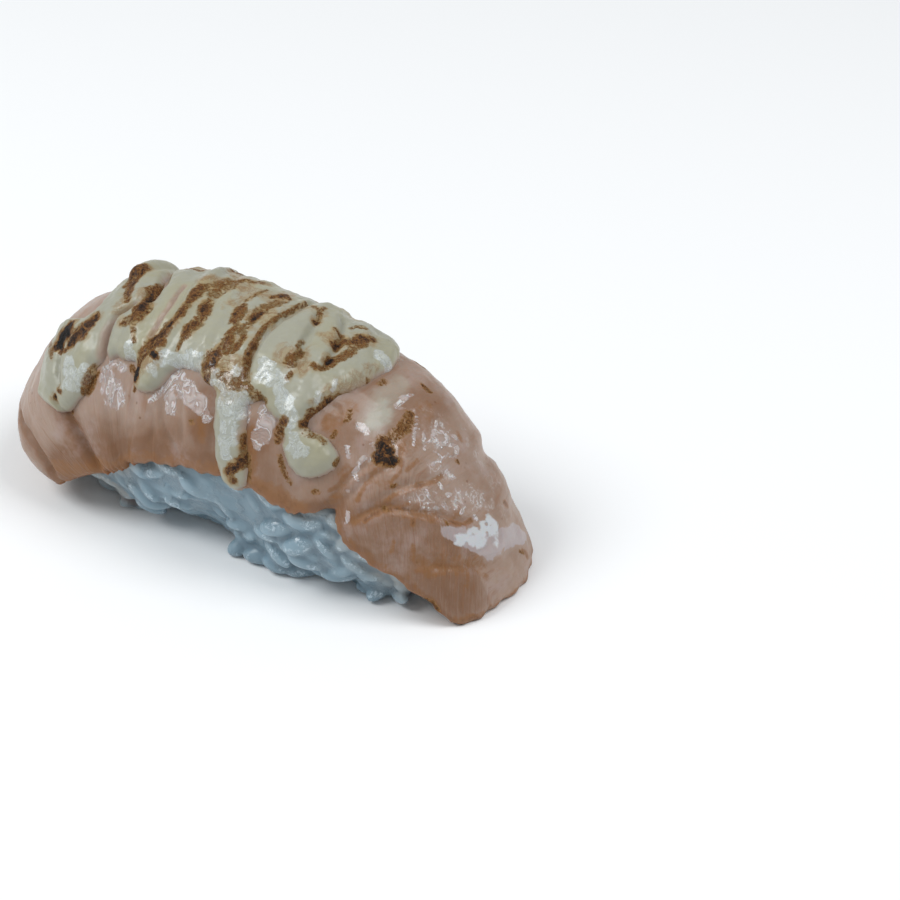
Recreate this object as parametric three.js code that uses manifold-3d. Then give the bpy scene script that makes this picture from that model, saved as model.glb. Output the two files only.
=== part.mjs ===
// A piece of torched salmon nigiri: a pressed oval of rice, a slice of salmon draped over it from
// end to end, and browned mayonnaise squeezed across the top in touching lines.
//
// Millimetres, +Z up. +X runs along the piece, +Y is its back. The origin is on the surface that
// the rice rests on, under the middle of the piece.
//
// A place on the slice is given as [s, a]: s is the distance in millimetres along its ridge line
// from the left end, and a is the angle in degrees round the section from the ridge. Angles on
// the front are negative and angles on the back are positive.

import * as THREE from "three";
import { mergeVertices } from "three/addons/utils/BufferGeometryUtils.js";
import Module from "manifold-3d";

const wasm = await Module();
wasm.setup();

// ---------------------------------------------------------------- driving dimensions

const GAP = 0.3; // left between pieces that touch
const MIDDLE = { x: -0.335, y: -0.525 }; // the outline's middle, brought to the origin

// Stations along the ridge of the slice: how far along the piece, how high, the half width of the
// section there, how far its sides hang below the ridge, how far it lies off centre, and how boxy
// the section is (2 is an ellipse).
const RIDGE = [
  { along: -32.5, rise: 1.4, reach: 12.6, hang: 11.0, off: 0.0, boxy: 2.2 },
  { along: -39.0, rise: 10.0, reach: 15.3, hang: 14.5, off: 0.0, boxy: 2.2 },
  { along: -31.8, rise: 22.6, reach: 16.2, hang: 18.0, off: 0.0, boxy: 2.3 },
  { along: -19.0, rise: 30.0, reach: 15.8, hang: 24.0, off: 0.0, boxy: 2.4 },
  { along: -3.5, rise: 31.8, reach: 15.8, hang: 26.0, off: 0.0, boxy: 2.4 },
  { along: 11.3, rise: 29.8, reach: 15.8, hang: 24.0, off: 0.5, boxy: 2.4 },
  { along: 24.0, rise: 22.3, reach: 15.3, hang: 18.0, off: 1.1, boxy: 2.3 },
  { along: 33.7, rise: 10.5, reach: 14.4, hang: 12.6, off: 1.6, boxy: 2.2 },
  { along: 38.8, rise: 0.9, reach: 12.6, hang: 9.0, off: 1.8, boxy: 2.2 },
];
const SPINE = { halfLength: 11.7, height: 1.8 }; // the line that the slice's sections face

// How far round the section each long edge of the slice reaches, as [s, degrees from the ridge].
const FRONT_EDGE = [
  [0, 55], [3, 66], [7, 78], [12, 86], [28, 88], [37, 84], [45, 78], [53, 72], [59, 67.5],
  [69, 69.5], [76, 69.5], [81, 66], [84, 62.5], [88, 65.5], [94, 70], [99, 67], [104, 62],
  [108, 57], [111.8, 49],
];
const BACK_EDGE = [
  [0, 44], [3, 56], [8, 66], [16, 71], [26, 74], [40, 70], [56, 66], [70, 67], [82, 69],
  [94, 66], [103, 60], [108, 54], [111.8, 42],
];

const SLICE = {
  middle: 4.6, // thickness over the top of the rice
  edge: 2.7, // thickness at the long edges and the ends
  thinning: 11, // width over which it thins towards an edge
  round: 1.3, // how far in from an edge its rounding starts
  steps: 42, // faces along
  stepsAcross: 17, // faces across
};

// Folds and swellings of the slice: where the middle is, how far they reach along (mm) and round
// (degrees), and how far they stand out of the surface or, below zero, sink into it.
const FOLDS = [
  { at: [29.3, -76], reach: [1.5, 17], lift: -1.3 }, // crease between the end lobe and the side
  { at: [20, -62], reach: [6, 24], lift: 0.5 }, // swelling of the end lobe
  { at: [37.5, -68], reach: [2.6, 16], lift: 0.45 },
  { at: [43, -62], reach: [1.6, 13], lift: -0.45 },
  { at: [47.5, -62], reach: [2.2, 13], lift: 0.45 },
  { at: [53, -58], reach: [1.6, 12], lift: -0.4 },
  { at: [57.5, -56], reach: [2.2, 11], lift: 0.35 },
  { at: [84.3, -62], reach: [1.6, 10], lift: -1.0 }, // notch where the right flap starts
  { at: [93, -60], reach: [6, 16], lift: 0.9 }, // the flap, standing proud of the side
  { at: [103, -30], reach: [5, 18], lift: 0.4 },
  { at: [30, 62], reach: [2, 14], lift: -0.6 },
  { at: [52, 58], reach: [3, 12], lift: 0.5 },
  { at: [74, 60], reach: [2, 12], lift: -0.5 },
];

// Lines of mayonnaise, from front to back: the path over the slice, the width and the height.
const LINES = [
  { path: [[25, -55], [22.6, -42], [22.6, -30], [24, -18], [26.5, -10]], width: 4.2, height: 1.7 },
  { path: [[29.2, -62], [29, -48], [29.6, -34], [30.6, -20], [31.5, -12]], width: 7.4, height: 2.3 },
  { path: [[33.2, -52], [34.4, -36], [35.6, -20], [35.8, -6], [35.6, 8], [36.4, 25]], width: 5, height: 2.4 },
  { path: [[42.6, -39], [42.2, -26], [41.4, -12], [40.4, 2], [39.4, 15], [39.6, 27]], width: 4.8, height: 2.5 },
  { path: [[46, -44], [45.4, -30], [44.8, -16], [44.2, -2], [43.6, 14], [44, 30]], width: 4.6, height: 2.3 },
  { path: [[49, -48], [49.4, -34], [49.4, -18], [49, -2], [48, 14], [48, 26]], width: 4.8, height: 2.2 },
  { path: [[53.4, -38], [53.6, -24], [53.2, -8], [52.6, 8], [52, 24], [52, 33]], width: 5, height: 2.3 },
  { path: [[57.6, -41], [58, -26], [57.6, -10], [57, 6], [56.6, 20], [57, 29]], width: 5.2, height: 2.2 },
  { path: [[59, -28], [60.6, -40], [61.6, -50], [62.3, -60], [63.2, -68], [63.8, -73]], width: 4.4, height: 1.9 },
  { path: [[64.6, -36], [64.2, -22], [63.4, -6], [62.8, 8], [62.2, 22], [62, 31]], width: 7, height: 2.6 },
  { path: [[69.8, -38], [70, -24], [69.4, -8], [68.2, 8], [67, 24], [66.6, 33]], width: 6.4, height: 2.4 },
  { path: [[73, -33], [73.2, -20], [73.5, -4], [73.2, 12], [72.6, 25]], width: 4.2, height: 1.7 },
  { path: [[70, -24], [72.2, -32], [74.6, -38], [76.6, -43], [77.4, -49]], width: 6, height: 2.3 },
];
const JOINS = [
  { at: [37.9, 17], radius: 3.0, height: 2.2 }, // closes the slit between two lines at the back
  { at: [75.4, -45.5], radius: 4.2, height: 2.5 }, // the round drop below the last lines
];
const DRIP = 8; // which of the lines runs down past the slice's edge, over the rice
const LINE = { sides: 8, step: 2.6, below: 1.1 }; // a line's section, ring spacing, sunk depth

// Levels of the pressed rice, from the face it rests on upwards: height, half length, half width.
const RICE_LEVELS = [
  [0.0, 23.0, 7.6],
  [1.3, 26.6, 9.8],
  [3.8, 29.6, 12.0],
  [7.0, 31.6, 13.0],
  [11.0, 31.6, 13.1],
  [15.0, 29.0, 12.6],
  [19.0, 25.0, 11.3],
  [23.0, 19.0, 8.8],
  [26.0, 11.0, 5.0],
];
const RICE = {
  middle: -1.6, // where its middle lies along the piece
  boxy: 2.5, // outline's exponent: 2 is an ellipse
  around: 30, // faces round
  bedding: 0.8, // the core stays this far under the slice
  hollows: [ // where the front's lower edge is drawn in: along, reach, part taken off the width
    { along: -8.5, reach: 5, part: 0.34 },
    { along: 18, reach: 4, part: 0.16 },
    { along: -27, reach: 4, part: 0.15 },
  ],
};
const GRAIN = { length: 6.8, width: 2.8, thick: 2.5, sides: 5, rings: 4, proud: 0.3, seed: 20261 };
const GRAIN_ROWS = [1.8, 4.6, 7.4, 10.2, 13.0, 15.8]; // heights of the rows of grains
const GRAIN_PITCH = 5.8; // along a row

// ---------------------------------------------------------------- smooth curves and the form

function seededDraw(seed) {
  let state = seed >>> 0;
  return () => {
    state = (Math.imul(state, 1664525) + 1013904223) >>> 0;
    return state / 4294967296;
  };
}

// A smooth curve through [knot, value] pairs.
function through(pairs) {
  const count = pairs.length;
  const slopes = pairs.map((_, i) => {
    const before = pairs[Math.max(i - 1, 0)];
    const after = pairs[Math.min(i + 1, count - 1)];
    return (after[1] - before[1]) / (after[0] - before[0]);
  });
  return (at) => {
    const t = Math.min(Math.max(at, pairs[0][0]), pairs[count - 1][0]);
    let i = 0;
    while (i < count - 2 && t > pairs[i + 1][0]) i += 1;
    const span = pairs[i + 1][0] - pairs[i][0];
    const u = (t - pairs[i][0]) / span;
    const rise = 3 * u * u - 2 * u * u * u;
    const leave = u * (1 - u) * (1 - u) * span;
    const arrive = u * u * (u - 1) * span;
    return pairs[i][1] * (1 - rise) + pairs[i + 1][1] * rise + slopes[i] * leave + slopes[i + 1] * arrive;
  };
}

const ridgeKnots = [0];
for (let i = 1; i < RIDGE.length; i += 1) {
  const step = Math.hypot(RIDGE[i].along - RIDGE[i - 1].along, RIDGE[i].rise - RIDGE[i - 1].rise);
  ridgeKnots.push(ridgeKnots[i - 1] + step);
}
const ridgeLength = ridgeKnots[ridgeKnots.length - 1];
const ridge = {};
for (const key of Object.keys(RIDGE[0])) {
  ridge[key] = through(RIDGE.map((station, i) => [ridgeKnots[i], station[key]]));
}
const frontEdge = through(FRONT_EDGE);
const backEdge = through(BACK_EDGE);

// The draped form without its folds.
function smoothPoint(s, a) {
  const x = ridge.along(s);
  const z = ridge.rise(s);
  const facing = new THREE.Vector2(
    THREE.MathUtils.clamp(x, -SPINE.halfLength, SPINE.halfLength) - x,
    SPINE.height - z,
  ).normalize();
  const angle = THREE.MathUtils.degToRad(Math.abs(a));
  const power = 2 / ridge.boxy(s);
  const across = Math.sign(a) * ridge.reach(s) * Math.sin(angle) ** power;
  const drop = ridge.hang(s) * (1 - Math.max(Math.cos(angle), 0) ** power);
  return new THREE.Vector3(x + facing.x * drop, across + ridge.off(s), z + facing.y * drop);
}

const NEAR = { s: 0.4, a: 0.8 }; // steps for measuring the surface's direction

function smoothNormal(s, a) {
  const s0 = Math.max(s - NEAR.s, 0);
  const s1 = Math.min(s + NEAR.s, ridgeLength);
  const alongSurface = smoothPoint(s1, a).sub(smoothPoint(s0, a));
  const round = smoothPoint(s, Math.min(a + NEAR.a, 89.5)).sub(smoothPoint(s, Math.max(a - NEAR.a, -89.5)));
  return alongSurface.cross(round).normalize();
}

function foldHeight(s, a) {
  let height = 0;
  for (const fold of FOLDS) {
    const u = (s - fold.at[0]) / fold.reach[0];
    const v = (a - fold.at[1]) / fold.reach[1];
    height += fold.lift * Math.exp(-0.5 * (u * u + v * v));
  }
  return height;
}

// A point over the slice's outer face, lifted by a height in millimetres.
function overSlice(s, a, height = 0) {
  return smoothPoint(s, a).addScaledVector(smoothNormal(s, a), foldHeight(s, a) + height);
}

// ---------------------------------------------------------------- meshes and solids

function meshFrom(points, faces) {
  const geometry = new THREE.BufferGeometry();
  geometry.setAttribute("position", new THREE.Float32BufferAttribute(points.flatMap((p) => p.toArray()), 3));
  geometry.setIndex(faces.flat());
  return geometry;
}

// Closes rings of points, each of the same count, between a first and a last pole.
function ringedMesh(firstPole, rings, lastPole) {
  const points = [firstPole, ...rings.flat(), lastPole];
  const count = rings[0].length;
  const last = points.length - 1;
  const faces = [];
  for (let j = 0; j < count; j += 1) {
    const k = (j + 1) % count;
    faces.push([0, 1 + k, 1 + j]);
    for (let i = 0; i < rings.length - 1; i += 1) {
      const a = 1 + i * count;
      const b = a + count;
      faces.push([a + j, a + k, b + k], [a + j, b + k, b + j]);
    }
    const end = 1 + (rings.length - 1) * count;
    faces.push([last, end + j, end + k]);
  }
  return meshFrom(points, faces);
}

function solidFrom(geometry) {
  const bare = geometry.clone();
  bare.deleteAttribute("normal");
  bare.deleteAttribute("uv");
  const merged = mergeVertices(bare, 1e-4);
  const mesh = new wasm.Mesh({
    numProp: 3,
    vertProperties: new Float32Array(merged.attributes.position.array),
    triVerts: new Uint32Array(merged.index.array),
  });
  const solid = new wasm.Manifold(mesh);
  if (solid.volume() > 0) return solid;
  for (let i = 0; i < mesh.triVerts.length; i += 3) {
    const corner = mesh.triVerts[i];
    mesh.triVerts[i] = mesh.triVerts[i + 1];
    mesh.triVerts[i + 1] = corner;
  }
  return new wasm.Manifold(mesh);
}

function geometryFrom(solid) {
  const mesh = solid.getMesh();
  const geometry = new THREE.BufferGeometry();
  geometry.setAttribute("position", new THREE.BufferAttribute(mesh.vertProperties, mesh.numProp));
  geometry.setIndex(new THREE.BufferAttribute(mesh.triVerts, 1));
  return geometry;
}

function joined(solids) {
  return solids.reduce((whole, solid) => whole.add(solid));
}

// The largest body of a solid, without loose scraps.
function largestBody(solid) {
  return solid.decompose().reduce((best, body) => (body.volume() > best.volume() ? body : best));
}

// A mesh grown outwards by the same distance all over.
function grown(geometry, distance) {
  const wider = geometry.clone();
  wider.computeVertexNormals();
  const { position, normal } = wider.attributes;
  for (let i = 0; i < position.count; i += 1) {
    position.setXYZ(
      i,
      position.getX(i) + normal.getX(i) * distance,
      position.getY(i) + normal.getY(i) * distance,
      position.getZ(i) + normal.getZ(i) * distance,
    );
  }
  return wider;
}

// ---------------------------------------------------------------- the slice of salmon

// Fractions from 0 to 1 in even steps, with two closer ones beside each end for the rounded edge.
function edgedFractions(steps, width) {
  const fractions = [0, (0.25 * SLICE.round) / width, SLICE.round / width];
  const inner = steps - 4;
  const first = fractions[2];
  for (let i = 1; i < inner; i += 1) fractions.push(first + ((1 - 2 * first) * i) / inner);
  fractions.push(1 - first, 1 - fractions[1], 1);
  return fractions;
}

function edgeRounding(distance) {
  if (distance >= SLICE.round) return 1;
  return Math.sqrt(1 - (1 - distance / SLICE.round) ** 2);
}

function sliceMesh() {
  const typicalWidth = 52;
  const alongs = edgedFractions(SLICE.steps, ridgeLength);
  const acrosses = edgedFractions(SLICE.stepsAcross, typicalWidth);
  const outer = [];
  const inner = [];
  for (const p of alongs) {
    for (const q of acrosses) {
      const s = p * ridgeLength;
      const a = THREE.MathUtils.lerp(-frontEdge(s), backEdge(s), q);
      const fromEnd = Math.min(p, 1 - p) * ridgeLength;
      const fromSide = Math.min(q, 1 - q) * typicalWidth;
      const inFromEdge = THREE.MathUtils.smoothstep(Math.min(fromEnd, fromSide), 0, SLICE.thinning);
      const thickness = THREE.MathUtils.lerp(SLICE.edge, SLICE.middle, inFromEdge);
      const half = (thickness / 2) * edgeRounding(fromEnd) * edgeRounding(fromSide);
      outer.push(overSlice(s, a, half - thickness / 2));
      inner.push(overSlice(s, a, -half - thickness / 2));
    }
  }
  const columns = acrosses.length;
  const faces = [];
  const innerStart = outer.length;
  for (let i = 0; i < alongs.length - 1; i += 1) {
    for (let j = 0; j < columns - 1; j += 1) {
      const a = i * columns + j;
      const [b, c, d] = [a + columns, a + columns + 1, a + 1];
      faces.push([a, b, c], [a, c, d]);
      faces.push([innerStart + a, innerStart + c, innerStart + b]);
      faces.push([innerStart + a, innerStart + d, innerStart + c]);
    }
  }
  return mergeVertices(meshFrom([...outer, ...inner], faces), 1e-3);
}

// ---------------------------------------------------------------- the mayonnaise

function lineMesh({ path, width, height }) {
  const curve = new THREE.CatmullRomCurve3(path.map(([s, a]) => new THREE.Vector3(s, a * 0.42, 0)));
  const steps = Math.max(4, Math.round(curve.getLength() / LINE.step));
  const places = curve.getSpacedPoints(steps).map((p) => [p.x, p.y / 0.42]);
  const centres = places.map(([s, a]) => overSlice(s, a));
  const total = centres.slice(1).reduce((sum, p, i) => sum + p.distanceTo(centres[i]), 0);
  const rings = [];
  let travelled = 0;
  for (let i = 1; i < centres.length - 1; i += 1) {
    travelled += centres[i].distanceTo(centres[i - 1]);
    const normal = smoothNormal(...places[i]);
    const forward = centres[i + 1].clone().sub(centres[i - 1]).normalize();
    const side = new THREE.Vector3().crossVectors(forward, normal).normalize();
    const fromEnd = Math.min(travelled, total - travelled) / (width / 2);
    const taper = fromEnd >= 1 ? 1 : Math.sqrt(1 - (1 - fromEnd) ** 2);
    const ring = [];
    for (let j = 0; j < LINE.sides; j += 1) {
      const round = (2 * Math.PI * j) / LINE.sides;
      const up = Math.sin(round) > 0 ? height : LINE.below;
      ring.push(centres[i].clone()
        .addScaledVector(side, (width / 2) * taper * Math.cos(round))
        .addScaledVector(normal, up * taper * Math.sin(round)));
    }
    rings.push(ring);
  }
  return ringedMesh(centres[0], rings, centres[centres.length - 1]);
}

function dropMesh({ at, radius, height }) {
  const dome = new THREE.SphereGeometry(1, 10, 6);
  const normal = smoothNormal(...at);
  dome.rotateX(Math.PI / 2);
  dome.scale(radius, radius, height);
  dome.applyQuaternion(new THREE.Quaternion().setFromUnitVectors(new THREE.Vector3(0, 0, 1), normal));
  dome.translate(...overSlice(...at).toArray());
  return dome;
}

// ---------------------------------------------------------------- the rice

function ovalPoint(round, [height, halfLength, halfWidth]) {
  const power = 2 / RICE.boxy;
  const c = Math.cos(round);
  const w = Math.sin(round);
  const x = RICE.middle + halfLength * Math.sign(c) * Math.abs(c) ** power;
  let y = halfWidth * Math.sign(w) * Math.abs(w) ** power;
  if (w < 0) {
    const low = 1 - THREE.MathUtils.smoothstep(height, 0.5, 8);
    for (const { along, reach, part } of RICE.hollows) {
      y *= 1 - part * low * Math.exp(-(((x - along) / reach) ** 2));
    }
  }
  return new THREE.Vector3(x, y, height);
}

// Distance from a point inside the rice to the inner face of the slice, or Infinity past its edge.
function roomUnder(sliceTarget, from, direction) {
  const ray = new THREE.Raycaster(from, direction);
  const hits = ray.intersectObject(sliceTarget);
  return hits.length ? hits[0].distance : Infinity;
}

function riceSpine(point) {
  const reach = 16;
  return new THREE.Vector3(THREE.MathUtils.clamp(point.x, -reach, reach), 0, Math.min(point.z, 12));
}

function riceCoreMesh(sliceTarget) {
  const rings = RICE_LEVELS.map((level) => {
    const ring = [];
    for (let j = 0; j < RICE.around; j += 1) {
      const point = ovalPoint((2 * Math.PI * j) / RICE.around, level);
      const from = riceSpine(point);
      const direction = point.clone().sub(from);
      const reach = direction.length();
      direction.normalize();
      const room = roomUnder(sliceTarget, from, direction) - RICE.bedding;
      ring.push(from.clone().addScaledVector(direction, Math.min(reach, room)));
    }
    return ring;
  });
  const base = new THREE.Vector3(0, 0, 0);
  const top = new THREE.Vector3(0, 0, RICE_LEVELS[RICE_LEVELS.length - 1][0] + 0.8);
  return ringedMesh(base, rings, top);
}

// A short plump grain, its length along X.
function grainMesh(draw) {
  const grain = new THREE.SphereGeometry(0.5, GRAIN.sides, GRAIN.rings);
  grain.rotateZ(Math.PI / 2);
  grain.rotateX(draw() * Math.PI);
  const size = 0.88 + 0.24 * draw();
  grain.scale(GRAIN.length * size, GRAIN.width * size, GRAIN.thick * size);
  return grain;
}

function levelAt(height) {
  const column = (k) => through(RICE_LEVELS.map((level) => [level[0], level[k]]));
  return [height, column(1)(height), column(2)(height)];
}

function grainMeshes(sliceTarget) {
  const draw = seededDraw(GRAIN.seed);
  const grains = [];
  for (const rowHeight of GRAIN_ROWS) {
    const [, halfLength, halfWidth] = levelAt(rowHeight);
    const perimeter = 4 * Math.hypot(halfLength, halfWidth) * 1.12;
    const count = Math.round(perimeter / GRAIN_PITCH);
    for (let i = 0; i < count; i += 1) {
      const round = (2 * Math.PI * (i + 0.7 * draw())) / count;
      const height = rowHeight + 1.2 * (draw() - 0.5);
      const point = ovalPoint(round, levelAt(height));
      const along = ovalPoint(round + 0.05, levelAt(height)).sub(point).normalize();
      const up = ovalPoint(round, levelAt(height + 0.5)).sub(point).normalize();
      const out = along.clone().cross(up).normalize();
      const lean = (draw() - 0.5) * 2.4;
      const grain = grainMesh(draw);
      const from = riceSpine(point);
      const direction = point.clone().sub(from).normalize();
      if (roomUnder(sliceTarget, from, direction) < point.distanceTo(from) + 2.5) continue;
      const lengthwise = along.clone().multiplyScalar(Math.cos(lean)).addScaledVector(up, Math.sin(lean));
      const widthwise = out.clone().cross(lengthwise);
      point.addScaledVector(out, GRAIN.proud);
      grain.applyMatrix4(new THREE.Matrix4().makeBasis(lengthwise, widthwise, out).setPosition(point));
      grains.push(grain);
    }
  }
  return grains;
}

// ---------------------------------------------------------------- assembly

const sliceGeometry = sliceMesh();
const sliceTarget = new THREE.Mesh(sliceGeometry, new THREE.MeshBasicMaterial({ side: THREE.DoubleSide }));
const sliceSolid = solidFrom(sliceGeometry);
const sliceWithGap = solidFrom(grown(sliceGeometry, GAP));

const lineSolids = LINES.map((line) => solidFrom(lineMesh(line)));
const joinSolids = JOINS.map((join) => solidFrom(dropMesh(join)));
const mayonnaiseSolid = largestBody(joined([...lineSolids, ...joinSolids]).subtract(sliceWithGap));

const floorBlock = solidFrom(new THREE.BoxGeometry(120, 60, 20).translate(0, 0, -10));
const grainSolids = grainMeshes(sliceTarget).map((grain) => solidFrom(grain));
const riceHeap = joined([solidFrom(riceCoreMesh(sliceTarget)), ...grainSolids]);
const dripWithGap = solidFrom(grown(lineMesh(LINES[DRIP]), GAP));
const riceSolid = largestBody(riceHeap.subtract(sliceWithGap).subtract(dripWithGap).subtract(floorBlock));

function namedPiece(name, solid, look) {
  const geometry = geometryFrom(solid);
  geometry.computeVertexNormals();
  const piece = new THREE.Mesh(geometry, new THREE.MeshStandardMaterial({ ...look, metalness: 0 }));
  piece.name = name;
  piece.position.set(-MIDDLE.x, -MIDDLE.y, 0);
  return piece;
}

const nigiri = new THREE.Group();
nigiri.add(namedPiece("rice_block", riceSolid, { color: 0xb4c6d0, roughness: 0.3 }));
nigiri.add(namedPiece("salmon_slice", sliceSolid, { color: 0xc28f78, roughness: 0.35 }));
nigiri.add(namedPiece("mayonnaise", mayonnaiseSolid, { color: 0xc3c29c, roughness: 0.4 }));

export default nigiri;
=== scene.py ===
"""A piece of torched salmon nigiri: pressed rice, a draped slice of salmon and browned mayonnaise.

The sizes in this file are millimetres until a mesh is finished, and metres in the meshes. A place
on the slice is a pair (s, a): s is the distance along its ridge line from the left end, and a is
the angle in degrees round the section from the ridge, negative on the front.
"""

import math
import random

import bmesh
import bpy
import numpy as np
from mathutils import Matrix, Vector, kdtree


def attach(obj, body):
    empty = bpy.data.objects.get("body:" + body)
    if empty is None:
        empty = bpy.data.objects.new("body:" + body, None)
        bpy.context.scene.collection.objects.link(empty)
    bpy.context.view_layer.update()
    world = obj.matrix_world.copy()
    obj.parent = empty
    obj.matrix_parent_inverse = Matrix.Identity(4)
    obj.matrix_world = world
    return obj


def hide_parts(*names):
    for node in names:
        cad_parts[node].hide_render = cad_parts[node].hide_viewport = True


bl_info = {
    "name": "Torched Salmon Nigiri",
    "version": (1, 0, 0),
    "blender": (4, 5, 0),
    "location": "View3D > Sidebar > Nigiri",
    "description": "Builds the rice, the salmon slice and the browned mayonnaise of one nigiri",
    "category": "Add Mesh",
}

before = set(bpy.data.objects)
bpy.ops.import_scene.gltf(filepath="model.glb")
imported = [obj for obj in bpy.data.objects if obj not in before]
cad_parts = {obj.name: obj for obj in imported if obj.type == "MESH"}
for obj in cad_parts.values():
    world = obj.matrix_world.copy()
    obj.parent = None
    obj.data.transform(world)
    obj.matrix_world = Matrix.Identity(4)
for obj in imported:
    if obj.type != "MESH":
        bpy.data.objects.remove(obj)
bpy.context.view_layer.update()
MM = 0.001
BODY = "root"
MM_PER_DEGREE = 0.36  # roughly how far one degree round the slice reaches
NEARBY = 0.2  # half the step, in mm, over which the drape's direction along is measured

# ------------------------------------------------------------------ the drape

# Stations along the ridge: along, rise, half width, how far the sides hang, off centre, boxiness.
RIDGE = (
    (-32.5, 1.4, 12.6, 11.0, 0.0, 2.2),
    (-39.0, 10.0, 15.3, 14.5, 0.0, 2.2),
    (-31.8, 22.6, 16.2, 18.0, 0.0, 2.3),
    (-19.0, 30.0, 15.8, 24.0, 0.0, 2.4),
    (-3.5, 31.8, 15.8, 26.0, 0.0, 2.4),
    (11.3, 29.8, 15.8, 24.0, 0.5, 2.4),
    (24.0, 22.3, 15.3, 18.0, 1.1, 2.3),
    (33.7, 10.5, 14.4, 12.6, 1.6, 2.2),
    (38.8, 0.9, 12.6, 9.0, 1.8, 2.2),
)
SPINE_HALF = 11.7
SPINE_HEIGHT = 1.8
SHIFT = (0.335, 0.525, 0.0)  # from the drape's own middle to the origin

# How far round the section each long edge reaches: (s, degrees from the ridge).
FRONT_EDGE = (
    (0, 55), (3, 66), (7, 78), (12, 86), (28, 88), (37, 84), (45, 78), (53, 72), (59, 67.5),
    (69, 69.5), (76, 69.5), (81, 66), (84, 62.5), (88, 65.5), (94, 70), (99, 67), (104, 62),
    (108, 57), (111.8, 49),
)
BACK_EDGE = (
    (0, 44), (3, 56), (8, 66), (16, 71), (26, 74), (40, 70), (56, 66), (70, 67), (82, 69),
    (94, 66), (103, 60), (108, 54), (111.8, 42),
)

# How much further the front hangs at its very edge: (s, mm).
FRONT_LIP = ((0, 0.5), (4, 1.2), (10, 2.1), (16, 2.7), (22, 2.4), (28, 1.5), (33, 0.8), (40, 0.3), (47, 0))
LIP_BAND = (64, 90)  # degrees down the front over which the lip grows

# Broad folds of the slice: s, a, reach along (mm), reach round (degrees), lift (mm).
FOLDS = (
    (7, -70, 6, 22, 1.2),
    (82, 36, 9, 20, 1.7),
    (100, 42, 8, 16, 0.6),
    (53, 22, 7, 14, 0.6),
    (24, 4, 3.5, 16, 0.7),
    (19, -24, 4.5, 18, -0.5),
    (29.3, -76, 1.8, 17, -0.7),
    (20, -62, 6, 24, 0.5),
    (37.5, -68, 2.6, 16, 0.45),
    (43, -62, 1.6, 13, -0.45),
    (47.5, -62, 2.2, 13, 0.45),
    (53, -58, 1.6, 12, -0.4),
    (57.5, -56, 2.2, 11, 0.35),
    (84.3, -62, 1.6, 10, -1.0),
    (93, -60, 6, 16, 0.9),
    (103, -30, 5, 18, 0.4),
    (91.4, 40, 1.8, 12, 0.3),
    (94.4, 42, 1.3, 14, -0.8),
    (98, 40, 2.2, 14, 0.15),
    (103.5, 40, 1.6, 12, -0.4),
    (30, 62, 2, 14, -0.6),
    (52, 58, 3, 12, 0.5),
    (74, 60, 2, 12, -0.5),
)

# Narrow creases (below zero) and wrinkles (above): path, half width (mm), lift (mm).
CREASES = (
    (((27.6, -56), (28, -70), (29.1, -80), (31, -86)), 0.6, -0.75),
    (((13.5, -42), (14.6, -58), (15.3, -68), (14, -76), (10.5, -84)), 0.6, -0.8),
    (((39.4, -60), (40.1, -71), (41.7, -78)), 0.7, -0.3),
    (((45.7, -52), (46.6, -60), (45.9, -68), (44.4, -76)), 0.8, -0.4),
    (((49.5, -54), (50.6, -63), (50, -69)), 0.5, -0.3),
    (((51.1, -52), (51.8, -60.5), (53.3, -65), (55, -68)), 0.5, -0.35),
    (((53.3, -45), (54.2, -52), (55.1, -59), (55.3, -64)), 0.5, -0.3),
    (((82.7, -55), (83.1, -45), (83.6, -36), (84, -30)), 0.5, -0.35),
    (((85.4, -50), (85.3, -40), (85.8, -33), (86.9, -20)), 0.5, -0.35),
    (((88.6, -52), (89.2, -36), (89.8, -24), (91.4, -11), (92.5, 3)), 0.6, -0.35),
    (((89.4, -47), (90.9, -34), (92.5, -20)), 0.5, -0.25),
    (((88.8, -56), (90.5, -40), (92.1, -34), (94.3, -25), (96.3, -16), (98, -11), (99.5, -2)), 0.6, -0.45),
    (((101, -44), (102.8, -32), (105.5, -7), (108, 20)), 0.9, -0.5),
)

SLICE_THINNING = 11.0  # width over which the slice thins towards an edge
UNEVEN = ((0.16, 5.0, 3), (0.07, 1.6, 4))  # the slice's unevenness: height, size and seed


def through(pairs, at):
    """Values of the smooth curve through (knot, value, ...) rows, at many places."""
    rows = np.array(pairs, float)
    knots, values = rows[:, 0], rows[:, 1:]
    slopes = np.empty_like(values)
    slopes[1:-1] = (values[2:] - values[:-2]) / (knots[2:] - knots[:-2])[:, None]
    slopes[0] = (values[1] - values[0]) / (knots[1] - knots[0])
    slopes[-1] = (values[-1] - values[-2]) / (knots[-1] - knots[-2])
    at = np.clip(np.atleast_1d(np.asarray(at, float)), knots[0], knots[-1])
    i = np.clip(np.searchsorted(knots, at, side="right") - 1, 0, len(knots) - 2)
    span = (knots[i + 1] - knots[i])[:, None]
    u = (at - knots[i])[:, None] / span
    rise = 3 * u**2 - 2 * u**3
    leave = u * (1 - u) ** 2 * span
    arrive = u * u * (u - 1) * span
    found = values[i] * (1 - rise) + values[i + 1] * rise + slopes[i] * leave + slopes[i + 1] * arrive
    return found if values.shape[1] > 1 else found[:, 0]


def ridge_rows():
    """The ridge stations with their distance along the ridge line in front."""
    stations = np.array(RIDGE, float)
    steps = np.hypot(np.diff(stations[:, 0]), np.diff(stations[:, 1]))
    knots = np.concatenate([[0.0], np.cumsum(steps)])
    return np.column_stack([knots, stations])


RIDGE_ROWS = ridge_rows()
RIDGE_LENGTH = float(RIDGE_ROWS[-1, 0])


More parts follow.
